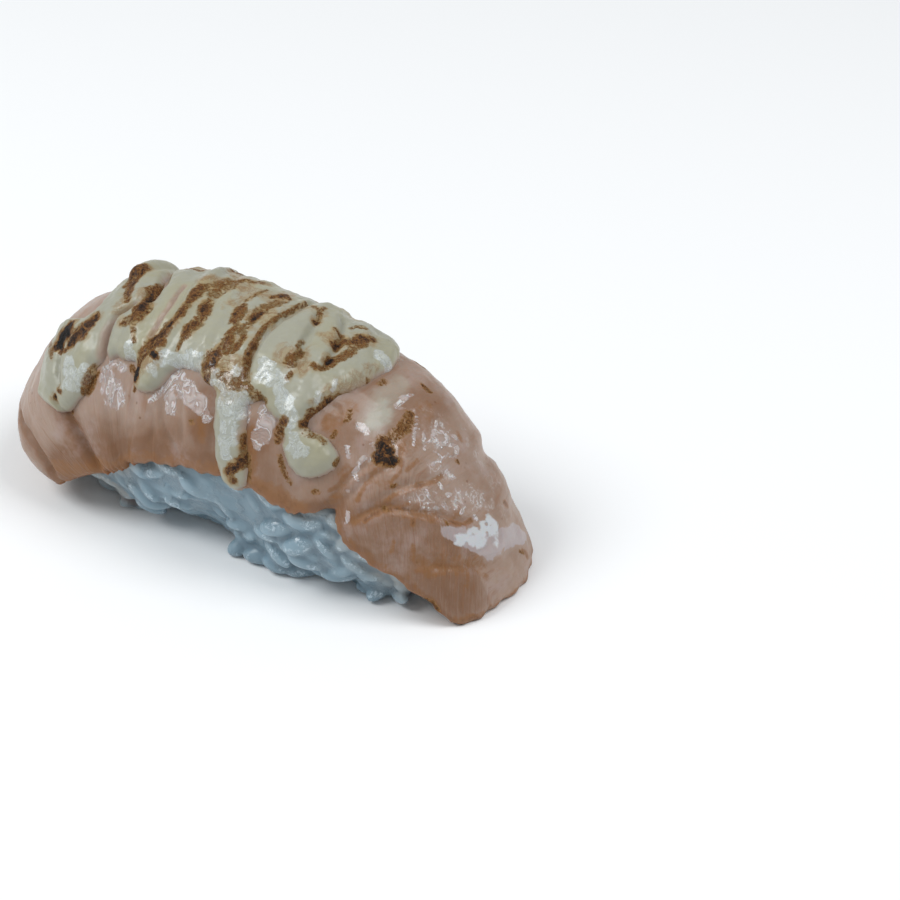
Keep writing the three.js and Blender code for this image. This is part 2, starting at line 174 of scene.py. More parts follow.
def drape_point(s, a):
    """Points of the smooth drape, in millimetres, which runs straight on past its ends."""
    inside = np.clip(s, 2 * NEARBY, RIDGE_LENGTH - 2 * NEARBY)
    over = np.asarray(s - inside)[..., None]
    ahead = station_point(inside + NEARBY, a) - station_point(inside - NEARBY, a)
    return station_point(inside, a) + over * (0.5 / NEARBY) * ahead


def station_point(s, a):
    """Points of the smooth drape between its ends."""
    x, z, reach, hang, off, boxy = through(RIDGE_ROWS, s).T
    face_x = np.clip(x, -SPINE_HALF, SPINE_HALF) - x
    face_z = SPINE_HEIGHT - z
    size = np.hypot(face_x, face_z)
    angle = np.radians(np.abs(a))
    power = 2 / boxy
    across = np.sign(a) * reach * np.sin(angle) ** power
    drop = hang * (1 - np.clip(np.cos(angle), 0, 1) ** power)
    drop = drop + through(FRONT_LIP, s) * soft_step(-np.asarray(a, float), *LIP_BAND)
    point = np.stack([x + face_x / size * drop, across + off, z + face_z / size * drop], -1)
    return point + np.array(SHIFT)


def unit(vectors):
    """Each vector at length one."""
    return vectors / np.maximum(np.linalg.norm(vectors, axis=-1, keepdims=True), 1e-9)


def dots(first, second):
    """The dot product of each pair of vectors."""
    return np.einsum("ij,ij->i", first, second)


def drape_normal(s, a):
    """Outward directions of the smooth drape."""
    ahead = drape_point(s + 2 * NEARBY, a) - drape_point(s - 2 * NEARBY, a)
    round_it = drape_point(s, np.minimum(a + 0.8, 89.5)) - drape_point(s, np.maximum(a - 0.8, -89.5))
    return unit(np.cross(ahead, round_it))


def path_points(path, step=0.8):
    """Close points along a smooth path of (s, a) places, with the half width if they carry one."""
    rows = np.array(path, float)
    steps = np.hypot(np.diff(rows[:, 0]), MM_PER_DEGREE * np.diff(rows[:, 1]))
    knots = np.concatenate([[0.0], np.cumsum(steps)])
    at = np.linspace(0, knots[-1], max(3, int(knots[-1] / step) + 1))
    return through(np.column_stack([knots, rows]), at)


def distance_to_line(points, line, reach=6.0):
    """Distance from points to a polyline, and where along it (0 to 1) the nearest place is."""
    best = np.full(len(points), 1e3)
    share = np.zeros(len(points))
    close = np.all((points > line.min(axis=0) - reach) & (points < line.max(axis=0) + reach), axis=1)
    near = points[close]
    near_best, near_share = best[close], share[close]
    total = len(line) - 1
    for i in range(total):
        start, run = line[i], line[i + 1] - line[i]
        along = np.clip(((near - start) @ run) / max(run @ run, 1e-9), 0, 1)
        gap = np.linalg.norm(near - start - along[:, None] * run, axis=1)
        closer = gap < near_best
        near_best = np.where(closer, gap, near_best)
        near_share = np.where(closer, (i + along) / total, near_share)
    best[close], share[close] = near_best, near_share
    return best, share


def stroke_distance(points, path, step=0.8, reach=6.0):
    """Distance from points on the drape to a path of (s, a) places, and where along it."""
    places = path_points(path, step)
    return distance_to_line(points, drape_point(places[:, 0], places[:, 1]), reach)


def wide_stroke_distance(points, path, reach=6.0):
    """Distance from points to the middle of a stroke, and the stroke's half width there."""
    gap, share = stroke_distance(points, path, 0.5, reach)
    widths = path_points(path, 0.5)[:, 2]
    return gap, np.interp(share, np.linspace(0, 1, len(widths)), widths)


def soft_step(value, low, high):
    """0 below low, 1 above high, smooth between."""
    t = np.clip((value - low) / (high - low), 0, 1)
    return t * t * (3 - 2 * t)


def lattice_noise(points, seed):
    """Smooth random values from -1 to 1, one lattice cell to a unit."""
    draw = np.random.default_rng(seed)
    slopes = unit(draw.normal(size=(4096, 3)))
    cell = np.floor(points).astype(np.int64)
    inside = points - cell
    ease = inside**3 * (inside * (inside * 6 - 15) + 10)
    total = np.zeros(len(points))
    for corner in np.ndindex(2, 2, 2):
        place = cell + corner
        key = (place[:, 0] * 73856093) ^ (place[:, 1] * 19349663) ^ (place[:, 2] * 83492791)
        slope = slopes[key & 4095]
        share = np.prod(np.where(corner, ease, 1 - ease), axis=1)
        total += share * dots(slope, inside - corner)
    return 1.6 * total


def rough(points, size, seed, octaves=3):
    """Smooth random values from about -1 to 1 at points in millimetres."""
    total = np.zeros(len(points))
    scaled = points / size + 100.0
    for octave in range(octaves):
        total += lattice_noise(scaled * 2.0**octave, seed * 10 + octave) / 1.9**octave
    return total


def fold_height(s, a, points):
    """How far the folds and creases stand out of the smooth drape, in millimetres."""
    height = np.zeros(len(s))
    for fold_s, fold_a, reach_s, reach_a, lift in FOLDS:
        height += lift * np.exp(-0.5 * (((s - fold_s) / reach_s) ** 2 + ((a - fold_a) / reach_a) ** 2))
    for path, half_width, lift in CREASES:
        gap, share = stroke_distance(points, path)
        fade = soft_step(share, 0.0, 0.12) * (1 - soft_step(share, 0.88, 1.0))
        height += lift * (0.35 + 0.65 * fade) * np.exp(-((gap / half_width) ** 2))
    return height


def slice_relief(s, a, points):
    """The folds, creases and unevenness of the slice's outer face, in millimetres."""
    relief = fold_height(s, a, points)
    for height, size, seed in UNEVEN:
        relief = relief + height * rough(points, size, seed)
    return relief


# ------------------------------------------------------------------ meshes

LAY_LENGTH = 100  # millimetres along the slice in one unit of its UV map
LAY_TURN = 0.0035  # units of the UV map in one degree round the slice


def mesh_points(mesh):
    """The vertices of a mesh as an array."""
    found = np.empty(len(mesh.vertices) * 3)
    mesh.vertices.foreach_get("co", found)
    return found.reshape(-1, 3)


def mesh_normals(mesh):
    """The vertex normals of a mesh as an array."""
    found = np.empty(len(mesh.vertices) * 3)
    mesh.vertex_normals.foreach_get("vector", found)
    return found.reshape(-1, 3)


def move_points(mesh, points):
    """Puts the vertices of a mesh at these points."""
    mesh.vertices.foreach_set("co", np.asarray(points, np.float32).ravel())
    mesh.update()


def finished_mesh(shape, name):
    """The mesh of a bmesh, which is then let go."""
    mesh = bpy.data.meshes.new(name)
    shape.to_mesh(mesh)
    shape.free()
    return mesh


def add_under_layer(shape, depth):
    """Copies an open sheet down to a depth and closes its edges, which makes it a slab."""
    copied = bmesh.ops.extrude_face_region(shape, geom=shape.faces[:], use_keep_orig=True)
    for element in copied["geom"]:
        if isinstance(element, bmesh.types.BMVert):
            element.co.z = depth
    bmesh.ops.recalc_face_normals(shape, faces=shape.faces[:])
    sort_faces(shape)


def sort_faces(shape):
    """Puts the faces in the order of their middles, as an extrusion leaves its rim in no fixed order."""
    shape.faces.index_update()
    middles = np.array([face.calc_center_median() for face in shape.faces])
    rank = np.empty(len(middles))
    rank[np.lexsort(middles.T)] = np.arange(len(middles))
    shape.faces.sort(key=lambda face: rank[face.index])


def paint(mesh, name, values):
    """Writes one number for each vertex as a named attribute."""
    layer = mesh.attributes.get(name) or mesh.attributes.new(name, "FLOAT", "POINT")
    layer.data.foreach_set("value", np.asarray(values, np.float32))


def lay_uv(mesh, s, a, slant=0.0):
    """Writes a UV map that follows the slice, from a place and a slant for each vertex."""
    pairs = np.column_stack([s / LAY_LENGTH + slant, a * LAY_TURN])
    layer = mesh.uv_layers.new(name="lay")
    corner = np.empty(len(mesh.loops), np.int32)
    mesh.loops.foreach_get("vertex_index", corner)
    layer.data.foreach_set("uv", pairs[corner].astype(np.float32).ravel())


def settle(name, mesh, material, node):
    """Makes a finished mesh, in millimetres, into a piece of the part."""
    points = mesh_points(mesh)
    points[:, 2] = np.maximum(points[:, 2], 0.0)
    move_points(mesh, points * MM)
    mesh.shade_smooth()
    mesh.materials.clear()
    mesh.materials.append(material)
    piece = bpy.data.objects.new(name, mesh)
    bpy.context.scene.collection.objects.link(piece)
    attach(piece, BODY)
    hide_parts(node)
    return piece


def applied(mesh, kind, **settings):
    """The mesh after one modifier."""
    holder = bpy.data.objects.new("working", mesh)
    bpy.context.scene.collection.objects.link(holder)
    modifier = holder.modifiers.new("shape", kind)
    for key, value in settings.items():
        setattr(modifier, key, value)
    graph = bpy.context.evaluated_depsgraph_get()
    result = bpy.data.meshes.new_from_object(holder.evaluated_get(graph))
    bpy.data.objects.remove(holder)
    return result


class DrapePlaces:
    """Finds the place (s, a) and the height over the drape of any point near it."""

    def __init__(self):
        s = np.linspace(0, RIDGE_LENGTH, 150)
        a = np.linspace(-89, 89, 120)
        grid_s, grid_a = [g.ravel() for g in np.meshgrid(s, a, indexing="ij")]
        self.s, self.a = grid_s, grid_a
        self.points = drape_point(grid_s, grid_a)
        self.normals = drape_normal(grid_s, grid_a)
        self.tree = kdtree.KDTree(len(self.points))
        for i, point in enumerate(self.points):
            self.tree.insert(point, i)
        self.tree.balance()

    def find(self, points):
        """The place and the height of each point."""
        near = np.array([self.tree.find(Vector(p))[1] for p in points])
        s, a = self.s[near], self.a[near]
        offset = points - self.points[near]
        along = drape_point(s + NEARBY, a) - drape_point(s - NEARBY, a)
        around = drape_point(s, a + 0.4) - drape_point(s, a - 0.4)
        s = s + np.clip(dots(offset, along) / dots(along, along) * 2 * NEARBY, -1, 1)
        a = a + np.clip(dots(offset, around) / dots(around, around) * 0.8, -2, 2)
        return s, a, dots(offset, self.normals[near])


# ------------------------------------------------------------------ materials

class Wire:
    """A number that varies over a surface, with the usual arithmetic."""

    def __init__(self, finish, socket):
        self.finish = finish
        self.socket = socket

    def _with(self, operation, first, second, clamp=False):
        values = {0: first, 1: second}
        return self.finish.node("ShaderNodeMath", {"operation": operation, "use_clamp": clamp}, values)

    def __add__(self, other):
        return self._with("ADD", self, other)

    __radd__ = __add__

    def __sub__(self, other):
        return self._with("SUBTRACT", self, other)

    def __rsub__(self, other):
        return self._with("SUBTRACT", other, self)

    def __mul__(self, other):
        return self._with("MULTIPLY", self, other)

    __rmul__ = __mul__

    def capped(self):
        """The same number, kept between 0 and 1."""
        return self._with("ADD", self, 0.0, clamp=True)

    def step(self, low, high):
        """0 at low and 1 at high, smooth between."""
        values = {"Value": self, "From Min": low, "From Max": high}
        return self.finish.node("ShaderNodeMapRange", {"interpolation_type": "SMOOTHSTEP"}, values)


class Finish:
    """A procedural material and the one method that adds its nodes."""

    def __init__(self, name, **constants):
        self.material = bpy.data.materials.new(name)
        self.material.use_nodes = True
        self.tree = self.material.node_tree
        self.tree.nodes.clear()
        self.shader = self.tree.nodes.new("ShaderNodeBsdfPrincipled")
        output = self.tree.nodes.new("ShaderNodeOutputMaterial")
        self.tree.links.new(self.shader.outputs[0], output.inputs["Surface"])
        for socket, value in constants.items():
            self.shader.inputs[socket.replace("_", " ")].default_value = value
        self.coordinates = self.node("ShaderNodeTexCoord", {}, {}, "Object")

    def node(self, kind, settings, values, output=0):
        """Adds a node: its type, its settings, the values or links of its sockets, its output."""
        made = self.tree.nodes.new(kind)
        for key, value in settings.items():
            if key == "stops":
                ramp = made.color_ramp
                while len(ramp.elements) < len(value):
                    ramp.elements.new(0.5)
                for element, (place, colour) in zip(ramp.elements, value):
                    element.position = place
                    element.color = (*colour, 1.0)
            else:
                setattr(made, key, value)
        for key, value in values.items():
            if isinstance(value, Wire):
                self.tree.links.new(value.socket, made.inputs[key])
            else:
                made.inputs[key].default_value = value
        return Wire(self, made.outputs[output])

    def connect(self, socket, wire):
        self.tree.links.new(wire.socket, self.shader.inputs[socket])

    def attribute(self, name):
        return self.node("ShaderNodeAttribute", {"attribute_name": name}, {}, "Fac")

    def noise(self, scale, detail=3.0, roughness=0.5, vector=None, distortion=0.0):
        values = {
            "Vector": vector or self.coordinates, "Scale": scale, "Detail": detail,
            "Roughness": roughness, "Distortion": distortion,
        }
        return self.node("ShaderNodeTexNoise", {}, values)

    def cells(self, scale):
        """The distance to the nearest of many scattered places."""
        return self.node("ShaderNodeTexVoronoi", {}, {"Vector": self.coordinates, "Scale": scale})

    def stretched(self, along, across):
        """Coordinates that follow the slice, scaled along and across it."""
        lay = self.node("ShaderNodeUVMap", {"uv_map": "lay"}, {}, "UV")
        return self.node("ShaderNodeVectorMath", {"operation": "MULTIPLY"}, {0: lay, 1: (along, across, 1.0)})

    def blend(self, share, first, second):
        """The first colour, with a share of the second laid over it."""
        first, second = [c if isinstance(c, Wire) else (*c, 1.0) for c in (first, second)]
        return self.node("ShaderNodeMix", {"data_type": "RGBA"}, {0: share, 6: first, 7: second}, 2)

    def ramp(self, value, stops):
        return self.node("ShaderNodeValToRGB", {"stops": stops}, {0: value})

    def bump(self, height, distance, strength=1.0, under=None):
        values = {"Height": height, "Distance": distance, "Strength": strength}
        if under:
            values["Normal"] = under
        return self.node("ShaderNodeBump", {}, values)


# Torch marks, from lightly browned to black.
CHAR_STOPS = (
    (0.0, (0.36, 0.20, 0.06)),
    (0.25, (0.235, 0.105, 0.026)),
    (0.5, (0.105, 0.04, 0.010)),
    (0.78, (0.028, 0.012, 0.005)),
    (1.0, (0.006, 0.004, 0.003)),
)


def scorched(f, under, charred, haze, gold):
    """A surface with torch marks laid over its colour: the colour and how burnt each place is."""
    cloud = f.noise(720.0, 5.0, 0.65, distortion=0.8) - 0.5
    grain = f.noise(2700.0, 4.0, 0.72) - 0.5
    edge = charred.step(0.0, 0.25)
    lace = (cloud * cloud * 260.0).step(1.0, 0.0)
    amount = charred + (cloud * 1.6 + grain * 2.0 + lace * 0.3 - 0.1) * edge
    golden = (charred * 1.5 + (cloud * 1.6 + grain) * edge).step(0.02, 0.55)
    tinted = f.blend(golden * haze, under, gold)
    burnt = f.ramp((amount * 0.9 - 0.36).capped(), CHAR_STOPS)
    return f.blend(amount.step(0.28, 0.7), tinted, burnt), amount


def crinkled(f, along, across):
    """Fine bright threads, as light catches them on a wrinkled wet film, and the wave under them."""
    wave = f.noise(1.0, 3.0, 0.55, f.stretched(along, across), 1.6) - 0.5
    return (wave * wave * 1100.0).step(1.8, 0.1), wave


def wet_film(wet, wave):
    """The patches that a wet film covers, with ragged rims."""
    return (wet * 1.2 + wave * 0.9).step(0.3, 0.75) * wet.step(0.0, 0.25)


# Orange of less cooked flesh, also used as painted shade in creases and along the low edges.
FLESH_ORANGE_AND_SHADE = (0.22, 0.111, 0.058)
FLESH_LIGHT = (0.40, 0.30, 0.27)
FLESH_PALE = (0.43, 0.41, 0.34)
FIBRE_DARK = (0.23, 0.10, 0.045)
FIBRE_LIGHT = (0.42, 0.30, 0.24)
VEIN = (0.27, 0.12, 0.05)
# Seared brown, also painted shade along the rims, some creases and under the lobe.
SEARED_AND_SHADE = (0.26, 0.115, 0.038)
SEARED_DARK_AND_SHADE = (0.12, 0.045, 0.013)
SPECK = (0.16, 0.065, 0.02)
SALMON_GOLD = (0.31, 0.155, 0.05)
# Painted sheen and painted glints of the wet film.
PAINTED_SHEEN = (0.50, 0.42, 0.40)
PAINTED_GLINT_THREADS = (0.76, 0.73, 0.735)
PUDDLE = (0.42, 0.36, 0.36)
FROTH = (0.60, 0.62, 0.64)
# Painted sheen over the bubbles, painted highlights on their rims, and painted glints.
BUBBLE_SHEEN = (0.47, 0.40, 0.375)
BUBBLE_RIM_GLINTS = (0.70, 0.68, 0.68)
PAINTED_GLINT = (0.85, 0.86, 0.88)


def salmon_finish(colour):
    """Torched salmon: pale tan flesh with fine fibres, brown seared rims, painted shade along the low edges
    and creases, and oily patches with a painted sheen and painted glints.
    """
    f = Finish("torched_salmon", Subsurface_Weight=0.3, Subsurface_Scale=0.0018, IOR=1.42,
               Specular_IOR_Level=0.3, Coat_Roughness=0.12, Coat_IOR=1.5)
    f.shader.inputs["Subsurface Radius"].default_value = (1.0, 0.45, 0.28)
    painted_on = ("warm", "browned", "wet", "bubbly", "foam", "froth", "fibrous")
    warm, browned, wet, bubbly, foam, froth, fibrous = map(f.attribute, painted_on)
    fibres = f.noise(1.0, 4.0, 0.6, f.stretched(165.0, 22.0), 1.1)
    veins = f.noise(1.0, 3.0, 0.55, f.stretched(48.0, 10.0), 1.2)
    fine = f.noise(1600.0, 3.0, 0.6)
    mottle = f.noise(190.0, 4.0, 0.6)
    cloud = f.noise(90.0, 2.0, 0.5)
    threads, wave = crinkled(f, 46.0, 30.0)
    curl = f.noise(430.0, 3.0, 0.55, distortion=1.3) - 0.5
    # Orange flesh and painted shade: the painted strokes and edge bands, with random mottling.
    orangeness_and_shade = warm + (mottle - 0.5) * 0.8 + (cloud - 0.5) * 0.7
    flesh = f.blend(orangeness_and_shade.capped(), colour, FLESH_ORANGE_AND_SHADE)
    flesh = f.blend(mottle.step(0.5, 0.3) * 0.45, flesh, FLESH_LIGHT)
    flesh = f.blend(fibres.step(0.48, 0.7) * fibrous * 0.42, flesh, FIBRE_DARK)
    flesh = f.blend(fibres.step(0.48, 0.25) * (fibrous - 0.25).capped() * 0.3, flesh, FIBRE_LIGHT)
    flesh = f.blend(veins.step(0.57, 0.75) * 0.45, flesh, VEIN)
    flesh = f.blend(f.attribute("pale") * 0.85, flesh, FLESH_PALE)
    # Seared marks and the rim band: partly browning, partly painted shade.
    brown = (browned + (fine - 0.5) * 0.8 + (veins - 0.5) * 0.6) * browned.step(0.0, 0.2)
    flesh = f.blend(brown.step(0.05, 0.6) * 0.75, flesh, SEARED_AND_SHADE)
    flesh = f.blend(brown.step(0.55, 1.1) * 0.8, flesh, SEARED_DARK_AND_SHADE)
    specks = f.cells(560.0).step(0.15, 0.07) * f.noise(150.0).step(0.55, 0.66)
    flesh = f.blend(specks * 0.6, flesh, SPECK)
    film = wet_film(wet, wave)
    # Painted sheen on the wet film, and painted glints along its crinkles.
    flesh = f.blend(film * 0.42, flesh, PAINTED_SHEEN)
    flesh = f.blend(film * (threads * 0.75 + (wave - 0.02).step(0.0, 0.12) * 0.3), flesh, PAINTED_GLINT_THREADS)
    puddle = (foam + wave * 0.9 + (fine - 0.5) * 0.3).step(0.25, 0.6) * foam.step(0.0, 0.2)
    flesh = f.blend(puddle * 0.8, flesh, PUDDLE)
    holes = f.cells(760.0).step(0.3, 0.18)
    white = (froth + curl * 1.8 + (fine - 0.5) * 0.5).step(0.25, 0.85) * froth.step(0.0, 0.2)
    flesh = f.blend(white * (1 - holes * 0.75) * 0.92, flesh, FROTH)
    gap = f.cells(640.0)
    patchy = f.noise(420.0, 3.0, 0.6)
    rims = gap.step(0.17, 0.25) * gap.step(0.4, 0.3) * patchy.step(0.46, 0.6)
    web = (curl * curl * 1500.0).step(1.5, 0.2) * patchy.step(0.44, 0.58)
    # Painted sheen over the bubbles, painted highlights on their rims and web, and painted glints as tiny
    # white dots.
    flesh = f.blend((patchy.step(0.38, 0.6) * bubbly * 0.4).capped(), flesh, BUBBLE_SHEEN)
    flesh = f.blend(((rims + web) * bubbly * 0.55).capped(), flesh, BUBBLE_RIM_GLINTS)
    glints = f.cells(1050.0).step(0.2, 0.1) * f.noise(700.0).step(0.5, 0.58)
    flesh = f.blend((glints * bubbly).capped(), flesh, PAINTED_GLINT)
    colour_out, burnt = scorched(f, flesh, f.attribute("charred"), 0.6, SALMON_GOLD)
    f.connect("Base Color", colour_out)
    f.connect("Roughness", (0.45 - wet * 0.2 + burnt.step(0.4, 0.8) * 0.15 + (fine - 0.5) * 0.15).capped())
    dull = burnt.step(0.4, 0.6) * 0.25
    f.connect("Coat Weight", (0.25 + film * 0.75 + bubbly * 0.5 + foam * 0.5 - dull).capped())
    relief = f.bump(fibres * fibrous, 0.00018, 0.7)
    relief = f.bump(veins, 0.0004, 0.5, relief)
    relief = f.bump((wave * 3.0 + threads * 0.3) * film, 0.0003, 0.8, relief)
    domes = f.cells(1050.0).step(0.36, 0.05) * f.noise(700.0).step(0.46, 0.56)
    foamy = (domes * 0.6 + rims * 0.5) * bubbly + froth * 0.6 - holes * froth
    relief = f.bump(foamy.capped(), 0.0002, 0.8, relief)
    relief = f.bump(fine * (0.2 + burnt.step(0.3, 0.8) * 2.0), 0.00022, 0.8, relief)
    f.connect("Normal", relief)
    return f.material


CREAM_DEEPER = (1.02, 0.99, 0.88)  # how the cream's colour shifts in soft random patches
SALMON_THROUGH = (0.37, 0.25, 0.20)
CREAM_TOASTED = (0.33, 0.215, 0.085)
CREAM_WISP = (0.215, 0.105, 0.032)
CREAM_GOLD = (0.33, 0.2, 0.07)
# Painted sheen and painted glints of the wet film.
CREAM_SHEEN = (0.50, 0.54, 0.53)
CREAM_GLINT_THREADS = (0.70, 0.75, 0.76)


def mayonnaise_finish(colour):
    """Set mayonnaise: pale cream, crinkled and glossy, with crusty brown and black torch marks, and a painted
    sheen with painted glints on its wet patches.
    """
    f = Finish("browned_mayonnaise", Subsurface_Weight=0.35, Subsurface_Scale=0.0012, IOR=1.45,
               Specular_IOR_Level=0.3, Coat_Roughness=0.14, Coat_IOR=1.5)
    f.shader.inputs["Subsurface Radius"].default_value = (1.0, 0.9, 0.6)
    wet, thin, toasted = map(f.attribute, ("wet", "thin", "toasted"))
    fine = f.noise(1500.0, 4.0, 0.65)
    soft = f.noise(130.0, 3.0, 0.5)
    threads, wave = crinkled(f, 78.0, 66.0)
    deeper = tuple(part * shift for part, shift in zip(colour, CREAM_DEEPER))
    cream = f.blend(soft.step(0.4, 0.66), colour, deeper)
    cream = f.blend(thin * 0.8, cream, SALMON_THROUGH)
    crease = f.noise(260.0, 4.0, 0.6, distortion=1.0) - 0.5
    wisp = f.noise(420.0, 5.0, 0.68, distortion=1.2) - 0.5
    cloudy = (toasted + crease * 2.2).step(0.25, 0.95) * toasted.step(0.0, 0.3)
    cream = f.blend(cloudy * 0.5, cream, CREAM_TOASTED)
    feathers = (wisp * wisp * 420.0).step(1.0, 0.1) * (toasted + crease).step(0.35, 0.85)
    cream = f.blend(feathers * 0.55, cream, CREAM_WISP)
    film = wet_film(wet, wave)
    # Painted sheen on the wet film, and painted glints along its crinkles.
    cream = f.blend(film * 0.4, cream, CREAM_SHEEN)
    cream = f.blend(film * (threads * 0.42 + (wave - 0.02).step(0.0, 0.12) * 0.25), cream, CREAM_GLINT_THREADS)
    colour_out, burnt = scorched(f, cream, f.attribute("charred"), 0.7, CREAM_GOLD)
    f.connect("Base Color", colour_out)
    f.connect("Roughness", (0.42 - wet * 0.18 + (fine - 0.5) * 0.15 + burnt.step(0.4, 0.8) * 0.15).capped())
    f.connect("Coat Weight", (0.25 + film * 0.5 - burnt.step(0.4, 0.6) * 0.2).capped())
    relief = f.bump((wave * 3.0 + threads * 0.4) * film, 0.0002, 0.6)
    relief = f.bump(crease * toasted, 0.0006, 0.7, relief)
    relief = f.bump(fine * (0.06 + burnt.step(0.25, 0.7) * 2.0), 0.00028, 1.0, relief)
    f.connect("Normal", relief)
    return f.material


# Lighter, greyer rice just under the salmon's edge: partly its own tone, partly painted light against the
# salmon's shadow.
RICE_LIT_UNDER_SALMON = (0.31, 0.325, 0.32)
RICE_CLOUD = (0.31, 0.40, 0.45)
# Painted shade near the floor.
RICE_LOW_SHADE = (0.12, 0.185, 0.235)
# Painted shade in the hollows between grains, painted light on their crests, and painted glints.
RICE_HOLLOW_SHADE = (0.125, 0.19, 0.24)
RICE_CREST_LIGHT = (0.40, 0.52, 0.59)
RICE_GLINT_THREADS = (0.58, 0.70, 0.78)
RICE_TOASTED = (0.12, 0.055, 0.03)


def rice_finish(colour):
    """Moist cooked rice: cool, translucent and glossy, with painted shade low down and in the hollows,
    painted light on the crests, a partly painted lighter band under the salmon's edge, and painted glints.
    """
    f = Finish("sushi_rice", Subsurface_Weight=0.5, Subsurface_Scale=0.0022, IOR=1.4,
               Coat_Roughness=0.1, Coat_IOR=1.45)
    f.shader.inputs["Subsurface Radius"].default_value = (0.8, 0.95, 1.0)
    cloud = f.noise(330.0, 4.0, 0.55)
    fine = f.noise(1300.0, 4.0, 0.65, distortion=1.0)
    wave = f.noise(1900.0, 3.0, 0.6, distortion=0.8) - 0.5
    shiny = f.noise(430.0, 3.0, 0.5).step(0.48, 0.6)
    proud = f.attribute("proud")
    threads = (wave + 0.01).step(0.0, 0.09) * shiny * proud.step(0.5, 0.85)
    # Lighter, greyer band under the salmon's edge, partly painted light.
    tone = f.blend(f.attribute("cool"), RICE_LIT_UNDER_SALMON, colour)
    tone = f.blend(cloud.step(0.45, 0.7) * 0.3, tone, RICE_CLOUD)
    # Painted shade: darker and bluer towards the bottom.
    tone = f.blend(f.attribute("deep") * 0.5, tone, RICE_LOW_SHADE)
    # Painted shade in the hollows, painted light on the crests, painted glints on proud places.
    tone = f.blend(proud.step(0.55, 0.0) * 0.5, tone, RICE_HOLLOW_SHADE)
    tone = f.blend(proud.step(0.55, 1.0) * 0.22, tone, RICE_CREST_LIGHT)
    tone = f.blend(threads * 0.6, tone, RICE_GLINT_THREADS)
    tone = f.blend(f.attribute("toasted") * (0.4 + fine * 0.6), tone, RICE_TOASTED)
    f.connect("Base Color", tone)
    f.connect("Roughness", 0.36 + (fine - 0.5) * 0.3)
    f.connect("Coat Weight", 0.2 + shiny * 0.8)
    f.connect("Normal", f.bump(fine * (0.2 + shiny), 0.0003, 0.9))
    return f.material


# ------------------------------------------------------------------ the slice of salmon

# Marks on the slice are paths of places with the half width there (mm), and a strength.
SALMON_CHARS = (
    (((29.4, -63.7, 0.4), (29.3, -64.4, 0.3)), 1.0),
    (((37.1, -46.6, 0.5), (36, -50.8, 0.8), (34.9, -55.1, 0.6)), 0.7),
    (((44.4, -42.3, 0.4), (46.3, -46.2, 0.45), (46.2, -51.2, 0.3)), 0.75),
    (((83.6, -18.7, 1.0), (84.6, -19.8, 1.35), (85.3, -21.9, 1.35), (84.6, -24.8, 0.9),
      (86, -20.5, 0.9)), 1.25),
    (((82.9, -16.6, 0.6), (83.9, -14.4, 0.75)), 0.85),
    (((83.7, -10.2, 0.9), (83.9, -5.2, 1.0), (83.6, -1.2, 0.9), (83, 1.6, 0.6)), 0.68),
    (((77.2, -16.6, 0.4), (77.7, -20.2, 0.45), (77.6, -22.3, 0.3)), 0.55),
    (((77.3, -29.4, 0.3), (77.5, -32.3, 0.36)), 0.5),
    (((69.8, -40.8, 0.56), (69.5, -45.8, 0.7), (69.8, -48.3, 0.42)), 0.72),
    (((70.5, -53.3, 0.32), (71.2, -56.5, 0.36), (72.4, -58.7, 0.36), (74.2, -60.5, 0.25)), 0.6),
    (((65.7, -59, 0.4), (66.2, -64.4, 0.45), (66.6, -68.3, 0.36)), 0.5),
    (((56.5, -54.8, 0.26), (56.8, -55.1, 0.2)), 0.6),
    (((79.3, -58, 0.36), (80.2, -56.9, 0.3)), 0.6),
    (((80.9, 18.7, 0.3), (81.9, 18.7, 0.4), (82.3, 19.4, 0.3)), 0.75),
    (((77.6, 4.1, 0.56), (77.3, 1.2, 0.42)), 0.45),
    (((108.2, 21.2, 0.2), (109.1, 24.1, 0.25)), 0.6),
    (((107, -56.9, 0.3), (107.6, -54.8, 0.3), (109.1, -55.1, 0.28)), 0.9),
    (((90.7, -39.8, 0.34), (91, -39.8, 0.3)), 0.45),
    (((97.7, -17.3, 0.28), (97.8, -17.3, 0.2)), 0.6),
    (((92, 6.6, 0.26), (92.3, 6.6, 0.2)), 0.7),
    (((88.8, -29.8, 0.26), (89, -27.6, 0.2)), 0.6),
    (((77, 34, 0.5), (78.5, 40, 0.8), (79, 47, 0.4)), 0.7),
    (((57, 39, 0.5), (56, 46, 0.7), (57, 52, 0.3)), 0.6),
    (((45, 40, 0.5), (44.4, 47, 0.5)), 0.6),
)
